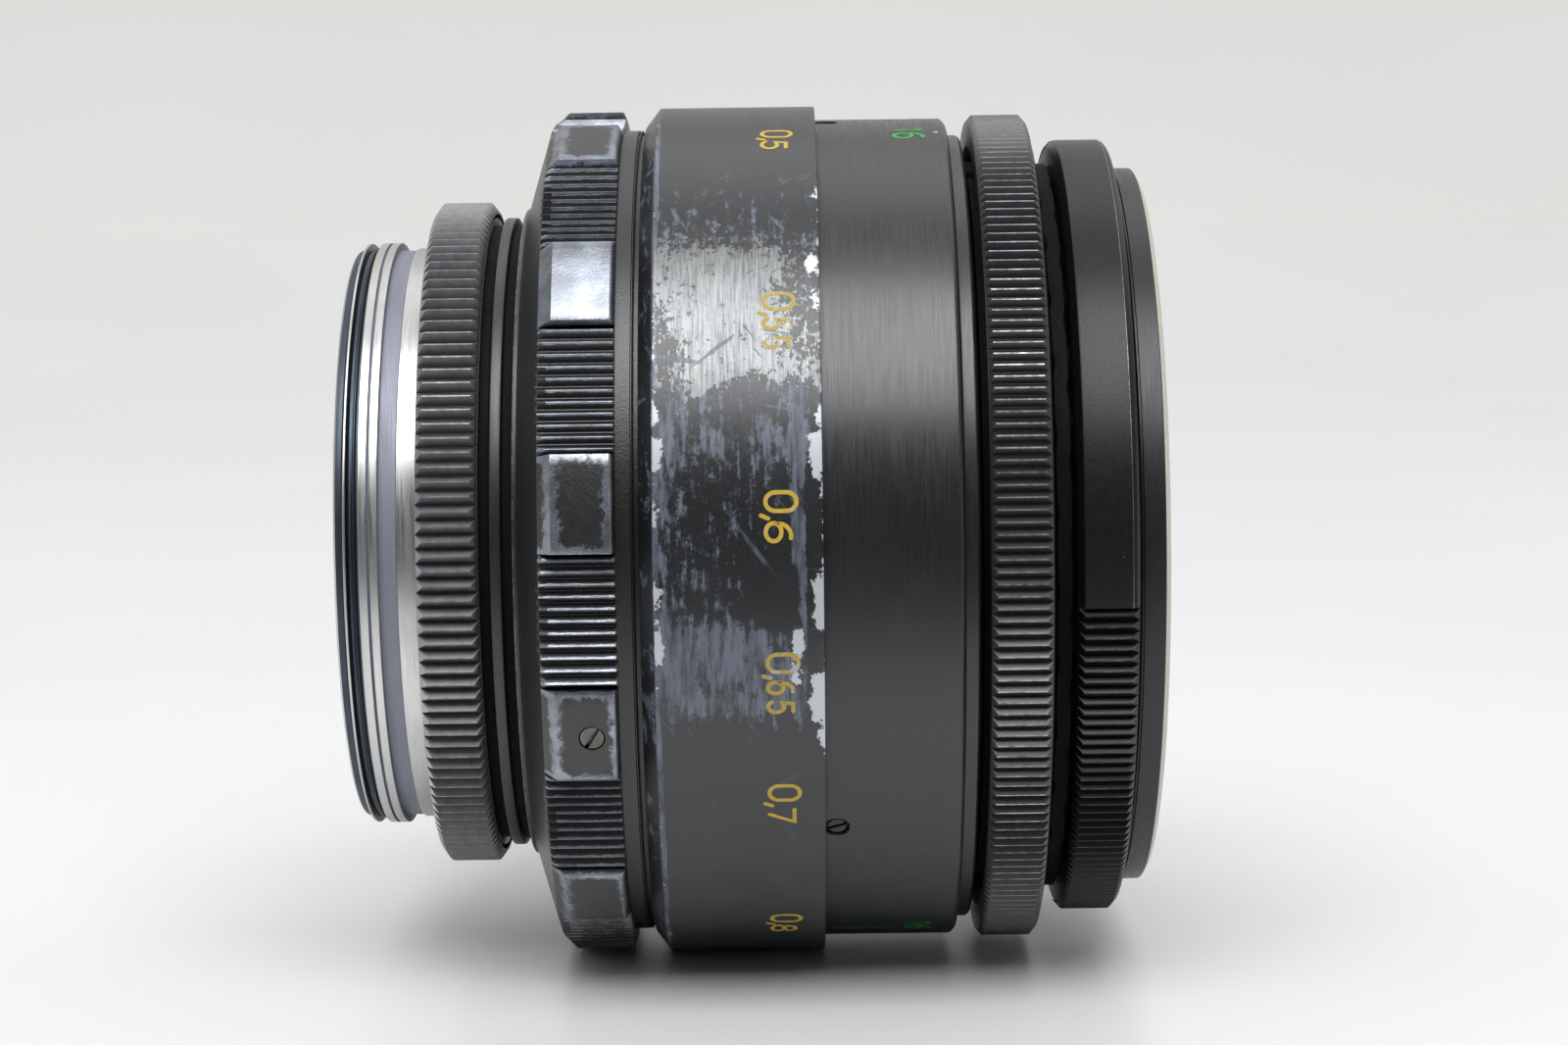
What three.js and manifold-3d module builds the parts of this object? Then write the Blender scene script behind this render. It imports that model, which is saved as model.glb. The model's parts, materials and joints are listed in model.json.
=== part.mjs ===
// A vintage 58 mm f/2 prime lens for a camera with an M42 screw mount, with a preset aperture.
// Millimetres, +Z up. The lens lies on its distance scale: its optical axis runs along +X, front to +X,
// and the origin is on the table, under the middle of the lens.
// A station is a place along the axis, counted from the flange seat, the face that meets the camera.
// An angle about the axis is counted in degrees from the side that faces -Y, and grows towards the table.
import * as THREE from "three";
import { mergeVertices } from "three/addons/utils/BufferGeometryUtils.js";
import Module from "manifold-3d";

// ---------------------------------------------------------------- driving dimensions

// Clearances and tessellation
const GAP = 0.3; // between any two pieces that meet or run in each other
const OUTER_FACETS = 32;
const INNER_FACETS = 24;
const GRIP_SCALLOP_STEPS = 6;
const SCREW_FACETS = 12;
const OVERSHOOT = 1; // how far a cutting tool runs past the face it opens
const MERGE_STEP = 1e-4;

// Camera mount: M42 x 1 thread, undercut and flange seat
const THREAD_RADIUS = 20.95;
const THREAD_DEPTH = 0.6;
const THREAD_PITCH = 1;
const THREAD_CRESTS = 1;
const THREAD_RUNOUT = 0.125;
const MOUNT_REACH = 5.75;
const MOUNT_LEAD_LENGTH = 0.78;
const MOUNT_LAND_LENGTH = 1.3;
const MOUNT_UNDERCUT_LENGTH = 1.25;
const MOUNT_UNDERCUT_DEPTH = 0.6;
const MOUNT_SPIGOT_INSET = 0.45;
const MOUNT_SPIGOT_LENGTH = 1.5;
const MOUNT_WALL = 2.25;

// Knurled ring behind the flange seat
const KNURL_RISE = 1.1; // over the neck
const KNURL_LENGTH = 4.14;
const KNURL_CHAMFER = 0.4;

// Fixed guide tube, whose neck shows between the knurled ring and the grip
const NECK_RISE = 1.65; // over the mount thread
const NECK_GROOVE_DEPTH = 0.5;
const NECK_GAP_LENGTH = 0.69;
const NECK_BAND_LENGTH = 0.8;
const NECK_GROOVE_LENGTH = 0.56;
const GUIDE_TUBE_WALL = 1.1;
const GUIDE_TUBE_END = 12.9;
const GUIDE_FLANGE_RISE = 2.1;
const GUIDE_FLANGE_LENGTH = 1.2;
const KEY_WIDTH = 3;
const KEY_START = 7.5;
const KEY_DEPTH = 1;
const KEY_ANGLES = [0, 180];
const KEY_SCREW_STATION = 8.9;
const KEY_SCREW_HEAD_RADIUS = 1;
const KEY_SCREW_SHANK_RADIUS = 0.5;

// Slots of all the screws, as shares of the head's radius
const SCREW_SLOT_WIDTH = 0.4;
const SCREW_SLOT_DEPTH = 0.5;

// Focusing grip: smooth blocks with ribbed scallops between them
const GRIP_RISE = 1.4; // over the band in front of it
const GRIP_START = 6.4;
const GRIP_CONE_END = 8.5;
const GRIP_CHAMFER = 0.9;
const GRIP_END = 13.5;
const GRIP_BLOCKS = 12;
const GRIP_BLOCK_ANGLE = 12.4;
const GRIP_FIRST_BLOCK = -9.2;
const GRIP_SCALLOP_EDGE_DEPTH = 0.45;
const GRIP_SCALLOP_DEPTH = 1;
const GRIP_BAND_WALL = 1.2;
const GRIP_BAND_LENGTH = 1.23;
const GRIP_SPIGOT_LENGTH = 0.8;
const GRIP_WEB_END = 9.9;
const GRIP_SCREW_RADIUS = 0.85;
const GRIP_SCREW_STATION = 11.75;
const GRIP_SCREW_DEPTH = 3.6;
const GRIP_SCREW_STEP = 0.15;
const SCREWS_PER_RING = 3;

// Distance scale sleeve and the front barrel that slides in it
const SLEEVE_RISE = 1.56; // over the band behind it
const SLEEVE_WALL = 0.66;
const SLEEVE_LENGTH = 11.91;
const SLEEVE_CHAMFER_LENGTH = 1;
const SLEEVE_CHAMFER_DEPTH = 1.3;
const SLEEVE_LIP_LENGTH = 0.77;
const BARREL_WALL = 1;
const BARREL_SHOWN_LENGTH = 9.23;
const BARREL_SKIRT_OVERLAP = 7.14;
const BARREL_CHAMFER = 0.35;
const BARREL_WEB_LENGTH = 1.1;
const BARREL_LIP_DEPTH = 1.2;
const BARREL_LIP_LENGTH = 1.03;
const BARREL_SCREW_RADIUS = 0.8;
const BARREL_SCREW_SHANK_RADIUS = 0.5;
const BARREL_SCREW_HEAD_LENGTH = 0.7;
const BARREL_SCREW_LENGTH = 3.2;
const BARREL_SCREW_ANGLE = 37;
const BARREL_SCREW_SETBACK = 0.76; // from the front edge of the distance scale sleeve

// Focusing: the nut turns, the lens tube slides
const FOCUS_TRAVEL_IN = 3.63;
const NUT_SKIRT_WALL = 2.2;
const NUT_FLANGE_LENGTH = 1.7;
const NUT_NECK_WALL = 2.5;
const NUT_CLEARANCE = 0.77; // to the lens tube's flange, racked right in
const LENS_TUBE_WALL = 1.3;
const LENS_TUBE_NOSE_LENGTH = 3.7;
const LENS_TUBE_FLANGE_LENGTH = 2;

// Front housing, which carries the preset and aperture rings
const HOUSING_REAR_WALL = 3.1;
const HOUSING_FRONT_WALL = 0.9;
const HOUSING_FLANGE_LENGTH = 2;
const HOUSING_SHOULDER_RISE = 1.4;
const HOUSING_SHOULDER_LENGTH = 0.96;
const HOUSING_LAND_LENGTH = 2.94;

// Preset ring on its keyed sleeve, with a wave spring
const PRESET_WALL = 2.2;
const PRESET_GROOVE_LENGTH = 0.63;
const PRESET_LENGTH = 4;
const PRESET_CHAMFER = 0.35;
const PRESET_RIM_WALL = 0.9;
const PRESET_WEB_LENGTH = 1.6;
const PRESET_TOOTH_WIDTH = 1.4;
const PRESET_TOOTH_DEPTH = 0.8;
const PRESET_TOOTH_LENGTH = 0.8;
const PRESET_TOOTH_ANGLE = -117;
const PRESET_SLEEVE_WALL = 2.1;
const PRESET_SLEEVE_FLANGE_LENGTH = 0.8;
const PRESET_SLEEVE_FLANGE_OVERHANG = 0.17;
const PRESET_STOPS = 7;
const PRESET_STOP_ANGLE = 14;
const PRESET_STOP_AT_REST = 3;
const NOTCH_RING_LENGTH = 1;
const NOTCH_DEPTH = 0.6;
const SPRING_THICKNESS = 0.3;
const SPRING_WAVE = 0.45;
const SPRING_LOBES = 3;

// Aperture ring and its link to the iris
const APERTURE_WALL = 2.8;
const APERTURE_GAP_LENGTH = 1.73;
const APERTURE_LENGTH = 4;
const APERTURE_CHAMFER = 0.4;
const DRIVE_PIN_RADIUS = 0.7;
const DRIVE_PIN_INSET = 1.25;
const DRIVE_PIN_ANGLE = 180;
const DRIVE_PIN_SOCKET = 1.1;
const LINK_WALL = 0.6;
const LINK_FRONT_WALL = 0.9;
const LINK_WEB_LENGTH = 0.6;

// Front rim with the 49 mm filter thread
const RIM_WALL = 1.1;
const RIM_LENGTH = 1.97;
const RIM_CHAMFER_LENGTH = 0.38;
const RIM_CHAMFER_DEPTH = 0.7;
const FILTER_THREAD_INSET = 0.1; // from the outside of the housing
const FILTER_THREAD_DEPTH = 0.4;

// Iris
const IRIS_BLADES = 8;
const IRIS_CLEAR_RADIUS = 10.2;
const IRIS_PIVOT_RADIUS = 17.1;
const IRIS_BLADE_OUTER_RADIUS = 18.1;
const IRIS_BLADE_ANGLE = 125;
const IRIS_BLADE_THICKNESS = 0.12;
const IRIS_BLADE_PITCH = 0.22;
const IRIS_BLADE_STEPS = 10;
const IRIS_CLOSING_ANGLE = 30.5; // each blade's turn from fully open to the smallest stop
const IRIS_RING_LENGTH = 0.6;
const IRIS_BASE_SETBACK = 6.43; // from the rear group's front surface

// Optics, front to rear: six elements in four groups around the iris
const FRONT_VERTEX_RECESS = 8.19; // behind the front of the rim
const CEMENT = 0.1;
const AIR_SPACE = 0.29;
const FRONT_ELEMENT = { radius: 18, front: 32.68, rear: 88.55, thickness: 5.09 };
const FRONT_CROWN = { radius: 15.6, front: 21.91, thickness: 7.27 };
const FRONT_FLINT = { radius: 15.6, clear: 11, rear: 14.09, thickness: 2.21 };
const IRIS_SPACE = 17.51;
const REAR_FLINT = { radius: 12.6, clear: 10, front: -16.5, thickness: 2.21 };
const REAR_CROWN = { radius: 12.6, rear: -22.05, thickness: 6.4 };
const REAR_ELEMENT = { radius: 13.4, front: 103.2, rear: -46.2, thickness: 4.07 };
const SURFACE_STEPS = 4;

// Cells that hold the elements
const CELL_LIP_LENGTH = 1.2;
const FRONT_CELL_THROAT_WALL = 0.6;
const FRONT_CELL_FLANGE_LENGTH = 1.06;
const FRONT_CELL_MOUTH_INSET = 0.8;
const SPACER_WALL = 0.6;
const RETAINER_LENGTH = 2;
const RETAINER_WALL = 0.6;
const REAR_CELL_CLEARANCE = 2.2; // inside the mount
const REAR_CELL_OVERHANG = 0.9;
const REAR_CELL_FLANGE_LENGTH = 1.9;
const REAR_SPACER_WALL = 1.5;
const REAR_RETAINER_WALL = 1.2;
const REAR_RETAINER_LENGTH = 1.5;

// ---------------------------------------------------------------- stations and radii that follow

const threadRoot = THREAD_RADIUS - THREAD_DEPTH;
const mountBore = THREAD_RADIUS - MOUNT_WALL;
const spigotRadius = THREAD_RADIUS - MOUNT_SPIGOT_INSET;

const neckRadius = THREAD_RADIUS + NECK_RISE;
const knurlRadius = neckRadius + KNURL_RISE;
const guideBore = neckRadius - GUIDE_TUBE_WALL;
const guideFlangeRadius = neckRadius + GUIDE_FLANGE_RISE;
const guideFlangeStart = GRIP_WEB_END + GAP;
const guideStart = MOUNT_SPIGOT_LENGTH + 2 * GAP;
const lensTubeRadius = guideBore - GAP;
const lensTubeBore = lensTubeRadius - LENS_TUBE_WALL;
const lensTubeStart = guideStart + FOCUS_TRAVEL_IN;
const keyOuter = lensTubeRadius;
const keyInner = keyOuter - KEY_DEPTH;
const keyLength = GUIDE_TUBE_END - GAP - KEY_START;
const keySlotEnd = KEY_START + keyLength + FOCUS_TRAVEL_IN + GAP;

const nutSkirtStart = guideFlangeStart;
const nutSkirtBore = guideFlangeRadius + GAP;
const nutRadius = nutSkirtBore + NUT_SKIRT_WALL;
const nutFlangeStart = GUIDE_TUBE_END + GAP;
const nutFlangeEnd = nutFlangeStart + NUT_FLANGE_LENGTH;
const nutNeckRadius = guideBore + NUT_NECK_WALL;
const gripPocketRadius = nutRadius + GAP;
const gripBandRadius = gripPocketRadius + GRIP_BAND_WALL;
const gripRadius = gripBandRadius + GRIP_RISE;
const gripScrewAngle = GRIP_FIRST_BLOCK + 360 / GRIP_BLOCKS;

const bandEnd = GRIP_END + GRIP_BAND_LENGTH;
const gripSpigotEnd = bandEnd + GRIP_SPIGOT_LENGTH;
const sleeveStart = bandEnd + GAP;
const sleeveEnd = sleeveStart + SLEEVE_LENGTH;
const sleeveRadius = gripBandRadius + SLEEVE_RISE;
const sleeveBore = sleeveRadius - SLEEVE_WALL;
const sleeveLipBore = sleeveRadius - SLEEVE_CHAMFER_DEPTH - GAP;
const gripSpigotRadius = sleeveLipBore - GAP;

const barrelRadius = sleeveBore - GAP;
const barrelBore = barrelRadius - BARREL_WALL;
const barrelStart = sleeveEnd - BARREL_SKIRT_OVERLAP;
const barrelEnd = sleeveEnd + BARREL_SHOWN_LENGTH;
const barrelLipEnd = barrelEnd + BARREL_LIP_LENGTH;
const barrelLipRadius = barrelRadius - BARREL_LIP_DEPTH;
const flangeRadius = barrelBore - GAP;
const barrelScrewStation = sleeveEnd + BARREL_SCREW_SETBACK;
const lensTubeFlangeStart = barrelScrewStation - LENS_TUBE_FLANGE_LENGTH / 2;
const lensTubeFlangeEnd = lensTubeFlangeStart + LENS_TUBE_FLANGE_LENGTH;
const lensTubeEnd = lensTubeFlangeEnd + LENS_TUBE_NOSE_LENGTH;
const nutEnd = lensTubeFlangeStart - FOCUS_TRAVEL_IN - NUT_CLEARANCE;

const presetStart = barrelLipEnd + PRESET_GROOVE_LENGTH;
const presetEnd = presetStart + PRESET_LENGTH;
const apertureStart = presetEnd + APERTURE_GAP_LENGTH;
const apertureEnd = apertureStart + APERTURE_LENGTH;
const rimStart = apertureEnd + GAP;
const rimEnd = rimStart + RIM_LENGTH;

const housingBore = lensTubeRadius + GAP;
const housingRadius = housingBore + HOUSING_REAR_WALL;
const housingShoulderRadius = housingRadius + HOUSING_SHOULDER_RISE;
const housingFrontBore = housingRadius - HOUSING_FRONT_WALL;
const housingStart = lensTubeFlangeEnd + GAP;
const housingShoulderEnd = apertureStart - GAP;
const housingShoulderStart = housingShoulderEnd - HOUSING_SHOULDER_LENGTH;
const housingEnd = housingShoulderEnd + HOUSING_LAND_LENGTH;
const ringBore = housingRadius + GAP;
const apertureRadius = ringBore + APERTURE_WALL;
const filterThreadRadius = housingRadius - FILTER_THREAD_INSET;
const rimRadius = filterThreadRadius + RIM_WALL;

const presetSleeveRadius = ringBore + PRESET_SLEEVE_WALL;
const presetBore = presetSleeveRadius + GAP;
const presetRadius = presetBore + PRESET_WALL;
const presetToothTip = presetBore - PRESET_TOOTH_DEPTH;
const notchRingRadius = presetToothTip - GAP;
const notchRingStart = barrelLipEnd + GAP;
const notchRingEnd = notchRingStart + NOTCH_RING_LENGTH;
const presetSleeveStart = notchRingEnd + GAP;
const presetPocketRadius = presetRadius - PRESET_RIM_WALL;
const presetPocketStart = presetStart + PRESET_WEB_LENGTH;
const presetSleeveEnd = presetEnd + PRESET_SLEEVE_FLANGE_OVERHANG;
const presetFlangeStart = presetSleeveEnd - PRESET_SLEEVE_FLANGE_LENGTH;
const presetFlangeRadius = presetPocketRadius - GAP;

const linkRadius = lensTubeBore - GAP;
const linkBore = linkRadius - LINK_WALL;
const linkFrontRadius = housingFrontBore - GAP;
const linkFrontBore = linkFrontRadius - LINK_FRONT_WALL;
const frontCellRadius = linkBore - GAP;
const frontCellFrontRadius = linkFrontBore - GAP;
const linkStepStart = lensTubeEnd + GAP;
const linkStepEnd = linkStepStart + LINK_WEB_LENGTH;
const linkEnd = housingEnd;
const drivePinStation = apertureStart + DRIVE_PIN_INSET;
const apertureTurn = (PRESET_STOPS - 1) * PRESET_STOP_ANGLE;
const apertureHalfTurn = apertureTurn / 2;

const frontVertex = rimEnd - FRONT_VERTEX_RECESS;
const frontElementRear = frontVertex - FRONT_ELEMENT.thickness;
const frontCrownFront = frontElementRear - AIR_SPACE;
const frontCement = frontCrownFront - FRONT_CROWN.thickness;
const frontFlintRear = frontCement - FRONT_FLINT.thickness;
const rearFlintFront = frontFlintRear - IRIS_SPACE;
const rearCement = rearFlintFront - REAR_FLINT.thickness;
const rearCrownRear = rearCement - REAR_CROWN.thickness;
const rearElementFront = rearCrownRear - AIR_SPACE;
const rearVertex = rearElementFront - REAR_ELEMENT.thickness;
const rearCellRadius = mountBore - REAR_CELL_CLEARANCE;

const irisRadius = linkRadius;
const irisBaseStart = rearFlintFront + IRIS_BASE_SETBACK;
const irisBladesStart = irisBaseStart + IRIS_RING_LENGTH + GAP;
const irisDriveStart = irisBladesStart + IRIS_BLADES * IRIS_BLADE_PITCH + GAP;
const irisDriveEnd = irisDriveStart + IRIS_RING_LENGTH;
const linkStart = irisDriveEnd + GAP;

const middle = (rimEnd - MOUNT_REACH) / 2;
const restHeight = sleeveRadius * Math.cos(Math.PI / OUTER_FACETS);

// ---------------------------------------------------------------- geometry helpers

const wasm = await Module();
wasm.setup();

const radians = THREE.MathUtils.degToRad;

// A profile of [station, radius] points turned about the lens axis. A ring's profile closes on itself;
// a profile that starts on the axis ends on it.
function turned(profile, facets) {
  const points = profile.map(([station, radius]) => new THREE.Vector2(radius, station));
  if (THREE.ShapeUtils.isClockWise(points)) points.reverse();
  if (profile[0][1] > 0) points.push(points[0].clone());
  return new THREE.LatheGeometry(points, facets, Math.PI / facets).rotateZ(-Math.PI / 2);
}

function tube(start, end, bore, radius, facets) {
  return turned([[start, bore], [start, radius], [end, radius], [end, bore]], facets);
}

// A shape drawn on the plane across the axis, with its x to +Y and its y to +Z, given a length.
function across(shape, start, length) {
  return new THREE.ExtrudeGeometry(shape, { depth: length, bevelEnabled: false })
    .rotateX(Math.PI / 2)
    .rotateZ(Math.PI / 2)
    .translate(start, 0, 0);
}

// The part of a ring between two angles, each counted from +Y towards +Z.
function sectorShape(bore, radius, from, to, steps) {
  const shape = new THREE.Shape();
  for (let i = 0; i <= steps; i += 1) {
    const angle = radians(from + ((to - from) * i) / steps);
    if (i === 0) shape.moveTo(radius * Math.cos(angle), radius * Math.sin(angle));
    else shape.lineTo(radius * Math.cos(angle), radius * Math.sin(angle));
  }
  for (let i = steps; i >= 0; i -= 1) {
    const angle = radians(from + ((to - from) * i) / steps);
    shape.lineTo(bore * Math.cos(angle), bore * Math.sin(angle));
  }
  shape.closePath();
  return shape;
}

// Turns a geometry whose +Y points out of the lens to an angle about the axis, at a station.
function radially(geometry, station, angle) {
  return geometry.rotateX(Math.PI + radians(angle)).translate(station, 0, 0);
}

// A round pin that lies along a radius.
function radialPin(station, angle, from, to, radius) {
  const pin = new THREE.CylinderGeometry(radius, radius, to - from, SCREW_FACETS);
  return radially(pin.translate(0, (from + to) / 2, 0), station, angle);
}

// A block that lies along a radius, with its length along the axis.
function radialBlock(start, end, angle, from, to, width) {
  const block = new THREE.BoxGeometry(end - start, to - from, width);
  return radially(block.translate(0, (from + to) / 2, 0), (start + end) / 2, angle);
}

// A slotted screw that lies along a radius, head outwards.
function radialScrew(station, angle, top, headRadius, headLength, shankRadius, length) {
  const profile = [
    new THREE.Vector2(0, top - length),
    new THREE.Vector2(shankRadius, top - length),
    new THREE.Vector2(shankRadius, top - headLength),
    new THREE.Vector2(headRadius, top - headLength),
    new THREE.Vector2(headRadius, top),
    new THREE.Vector2(0, top),
  ];
  const body = radially(new THREE.LatheGeometry(profile, SCREW_FACETS), station, angle);
  const slotWidth = headRadius * SCREW_SLOT_WIDTH;
  const slotDepth = headRadius * SCREW_SLOT_DEPTH;
  const reach = headRadius + OVERSHOOT;
  const slot = radialBlock(station - reach, station + reach, angle, top - slotDepth, top + OVERSHOOT,
    slotWidth);
  return cut(body, [slot]);
}

function solidOf(geometry) {
  const bare = geometry.clone();
  bare.deleteAttribute("normal");
  bare.deleteAttribute("uv");
  const merged = mergeVertices(bare, MERGE_STEP);
  return new wasm.Manifold(
    new wasm.Mesh({
      numProp: 3,
      vertProperties: merged.attributes.position.array,
      triVerts: new Uint32Array(merged.index.array),
    }),
  );
}

function geometryOf(solid) {
  const mesh = solid.getMesh();
  return new THREE.BufferGeometry()
    .setAttribute("position", new THREE.BufferAttribute(new Float32Array(mesh.vertProperties), 3))
    .setIndex(new THREE.BufferAttribute(new Uint32Array(mesh.triVerts), 1));
}

function cut(geometry, tools) {
  return geometryOf(tools.reduce((solid, tool) => solid.subtract(solidOf(tool)), solidOf(geometry)));
}

function join(geometry, additions) {
  return geometryOf(additions.reduce((solid, more) => solid.add(solidOf(more)), solidOf(geometry)));
}

// Points of a spherical surface from one radius to another. A positive curve bulges to the front.
function surface(vertex, curve, from, to) {
  const points = [];
  for (let i = 0; i <= SURFACE_STEPS; i += 1) {
    const radius = from + ((to - from) * i) / SURFACE_STEPS;
    const sag = Math.abs(curve) - Math.sqrt(curve * curve - radius * radius);
    points.push([vertex - Math.sign(curve) * sag, radius]);
  }
  return points;
}

function surfaceStation(vertex, curve, radius) {
  return surface(vertex, curve, radius, radius)[0][0];
}

function aroundRing(first) {
  return Array.from({ length: SCREWS_PER_RING }, (_, i) => first + (i * 360) / SCREWS_PER_RING);
}

// ---------------------------------------------------------------- the lens

const lens = new THREE.Group();
lens.position.set(-middle, 0, restHeight);

const BLACK = { color: 0x1b1c1e, roughness: 0.45, metalness: 0.6 };
const DULL_BLACK = { color: 0x111214, roughness: 0.85, metalness: 0.2 };
const BARE = { color: 0xc9cacc, roughness: 0.35, metalness: 1 };
const BRASS = { color: 0xb08d4a, roughness: 0.4, metalness: 1 };
const STEEL = { color: 0x8f9296, roughness: 0.35, metalness: 1 };
const GLASS = { color: 0xc7c2d8, roughness: 0.05, metalness: 0 };

function place(name, geometry, look) {
  const mesh = new THREE.Mesh(geometry, new THREE.MeshStandardMaterial(look));
  mesh.name = name;
  lens.add(mesh);
}

// ---- camera mount

function mountThreadTube() {
  const start = -MOUNT_REACH;
  const firstCrest = start + MOUNT_LEAD_LENGTH;
  const profile = [
    [start, mountBore],
    [start, threadRoot],
  ];
  for (let i = 0; i < THREAD_CRESTS; i += 1) {
    const crest = firstCrest + i * THREAD_PITCH;
    profile.push([crest - THREAD_PITCH / 2, threadRoot], [crest, THREAD_RADIUS]);
    profile.push([crest + THREAD_PITCH / 2, threadRoot]);
  }
  const landStart = firstCrest + THREAD_CRESTS * THREAD_PITCH - THREAD_RUNOUT;
  const landEnd = landStart + MOUNT_LAND_LENGTH;
  const undercutEnd = landEnd + MOUNT_UNDERCUT_LENGTH;
  const undercutRadius = THREAD_RADIUS - MOUNT_UNDERCUT_DEPTH;
  profile.push(
    [landStart, threadRoot],
    [landStart, THREAD_RADIUS],
    [landEnd, THREAD_RADIUS],
    [landEnd, undercutRadius],
    [undercutEnd, undercutRadius],
    [undercutEnd, spigotRadius],
    [MOUNT_SPIGOT_LENGTH, spigotRadius],
    [MOUNT_SPIGOT_LENGTH, mountBore],
  );
  return turned(profile, OUTER_FACETS);
}

function rearKnurledRing() {
  const seatBore = neckRadius + GAP;
  const seatStart = guideStart - GAP;
  return turned(
    [
      [0, spigotRadius + GAP],
      [0, knurlRadius - KNURL_CHAMFER],
      [KNURL_CHAMFER, knurlRadius],
      [KNURL_LENGTH - KNURL_CHAMFER, knurlRadius],
      [KNURL_LENGTH, knurlRadius - KNURL_CHAMFER],
      [KNURL_LENGTH, seatBore],
      [seatStart, seatBore],
      [seatStart, spigotRadius + GAP],
    ],
    OUTER_FACETS,
  );
}

function fixedGuideTube() {
  const gapEnd = KNURL_LENGTH + NECK_GAP_LENGTH;
  const bandStop = gapEnd + NECK_BAND_LENGTH;
  const grooveEnd = bandStop + NECK_GROOVE_LENGTH;
  const grooveRadius = neckRadius - NECK_GROOVE_DEPTH;
  const flangeEnd = guideFlangeStart + GUIDE_FLANGE_LENGTH;
  const body = turned(
    [
      [guideStart, guideBore],
      [guideStart, neckRadius],
      [KNURL_LENGTH, neckRadius],
      [KNURL_LENGTH, grooveRadius],
      [gapEnd, grooveRadius],
      [gapEnd, neckRadius],
      [bandStop, neckRadius],
      [bandStop, grooveRadius],
      [grooveEnd, grooveRadius],
      [grooveEnd, neckRadius],
      [guideFlangeStart, neckRadius],
      [guideFlangeStart, guideFlangeRadius],
      [flangeEnd, guideFlangeRadius],
      [flangeEnd, neckRadius],
      [GUIDE_TUBE_END, neckRadius],
      [GUIDE_TUBE_END, guideBore],
    ],
    INNER_FACETS,
  );
  const holeRadius = KEY_SCREW_HEAD_RADIUS + GAP;
  const holes = KEY_ANGLES.map((angle) =>
    radialPin(KEY_SCREW_STATION, angle, keyOuter, neckRadius + OVERSHOOT, holeRadius),
  );
  return cut(body, holes);
}

function guideKey(angle) {
  const key = radialBlock(KEY_START, KEY_START + keyLength, angle, keyInner, keyOuter, KEY_WIDTH);
  const hole = radialPin(KEY_SCREW_STATION, angle, keyInner - OVERSHOOT, keyOuter + OVERSHOOT,
    KEY_SCREW_SHANK_RADIUS + GAP);
  return cut(key, [hole]);
}

function guideKeyScrew(angle) {
  const top = neckRadius - GAP;
  const headLength = top - keyOuter - GAP;
  return radialScrew(KEY_SCREW_STATION, angle, top, KEY_SCREW_HEAD_RADIUS, headLength,
    KEY_SCREW_SHANK_RADIUS, top - keyInner);
}

place("mount_thread_tube", mountThreadTube(), BARE);
place("rear_knurled_ring", rearKnurledRing(), BLACK);
place("fixed_guide_tube", fixedGuideTube(), BLACK);
KEY_ANGLES.forEach((angle, i) => {
  place(`guide_key_${i + 1}`, guideKey(angle), BRASS);
  place(`guide_key_screw_${i + 1}`, guideKeyScrew(angle), STEEL);
});

// ---- focusing ring

// The grip's outline across the axis: blocks at full radius, with a concave scallop after each.
function gripOutline() {
  const pitch = 360 / GRIP_BLOCKS;
  const outline = [];
  for (let i = 0; i < GRIP_BLOCKS; i += 1) {
    const centre = GRIP_FIRST_BLOCK + i * pitch;
    for (const share of [-0.5, 0, 0.5]) outline.push([centre + share * GRIP_BLOCK_ANGLE, gripRadius]);
    for (let j = 0; j <= GRIP_SCALLOP_STEPS; j += 1) {
      const share = j / GRIP_SCALLOP_STEPS;
      const depth = THREE.MathUtils.lerp(GRIP_SCALLOP_EDGE_DEPTH, GRIP_SCALLOP_DEPTH,
        Math.sin(Math.PI * share));
      const angle = centre + GRIP_BLOCK_ANGLE / 2 + share * (pitch - GRIP_BLOCK_ANGLE);
      outline.push([angle, gripRadius - depth]);
    }
  }
  const shape = new THREE.Shape();
  outline.forEach(([angle, radius], i) => {
    const y = -radius * Math.cos(radians(angle));
    const z = -radius * Math.sin(radians(angle));
    if (i === 0) shape.moveTo(y, z);
    else shape.lineTo(y, z);
  });
  shape.closePath();
  return shape;
}

function gripScrewHoles(from) {
  return aroundRing(gripScrewAngle).map((angle) =>
    radialPin(GRIP_SCREW_STATION, angle, from, gripRadius + OVERSHOOT, GRIP_SCREW_RADIUS + GAP),
  );
}

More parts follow.
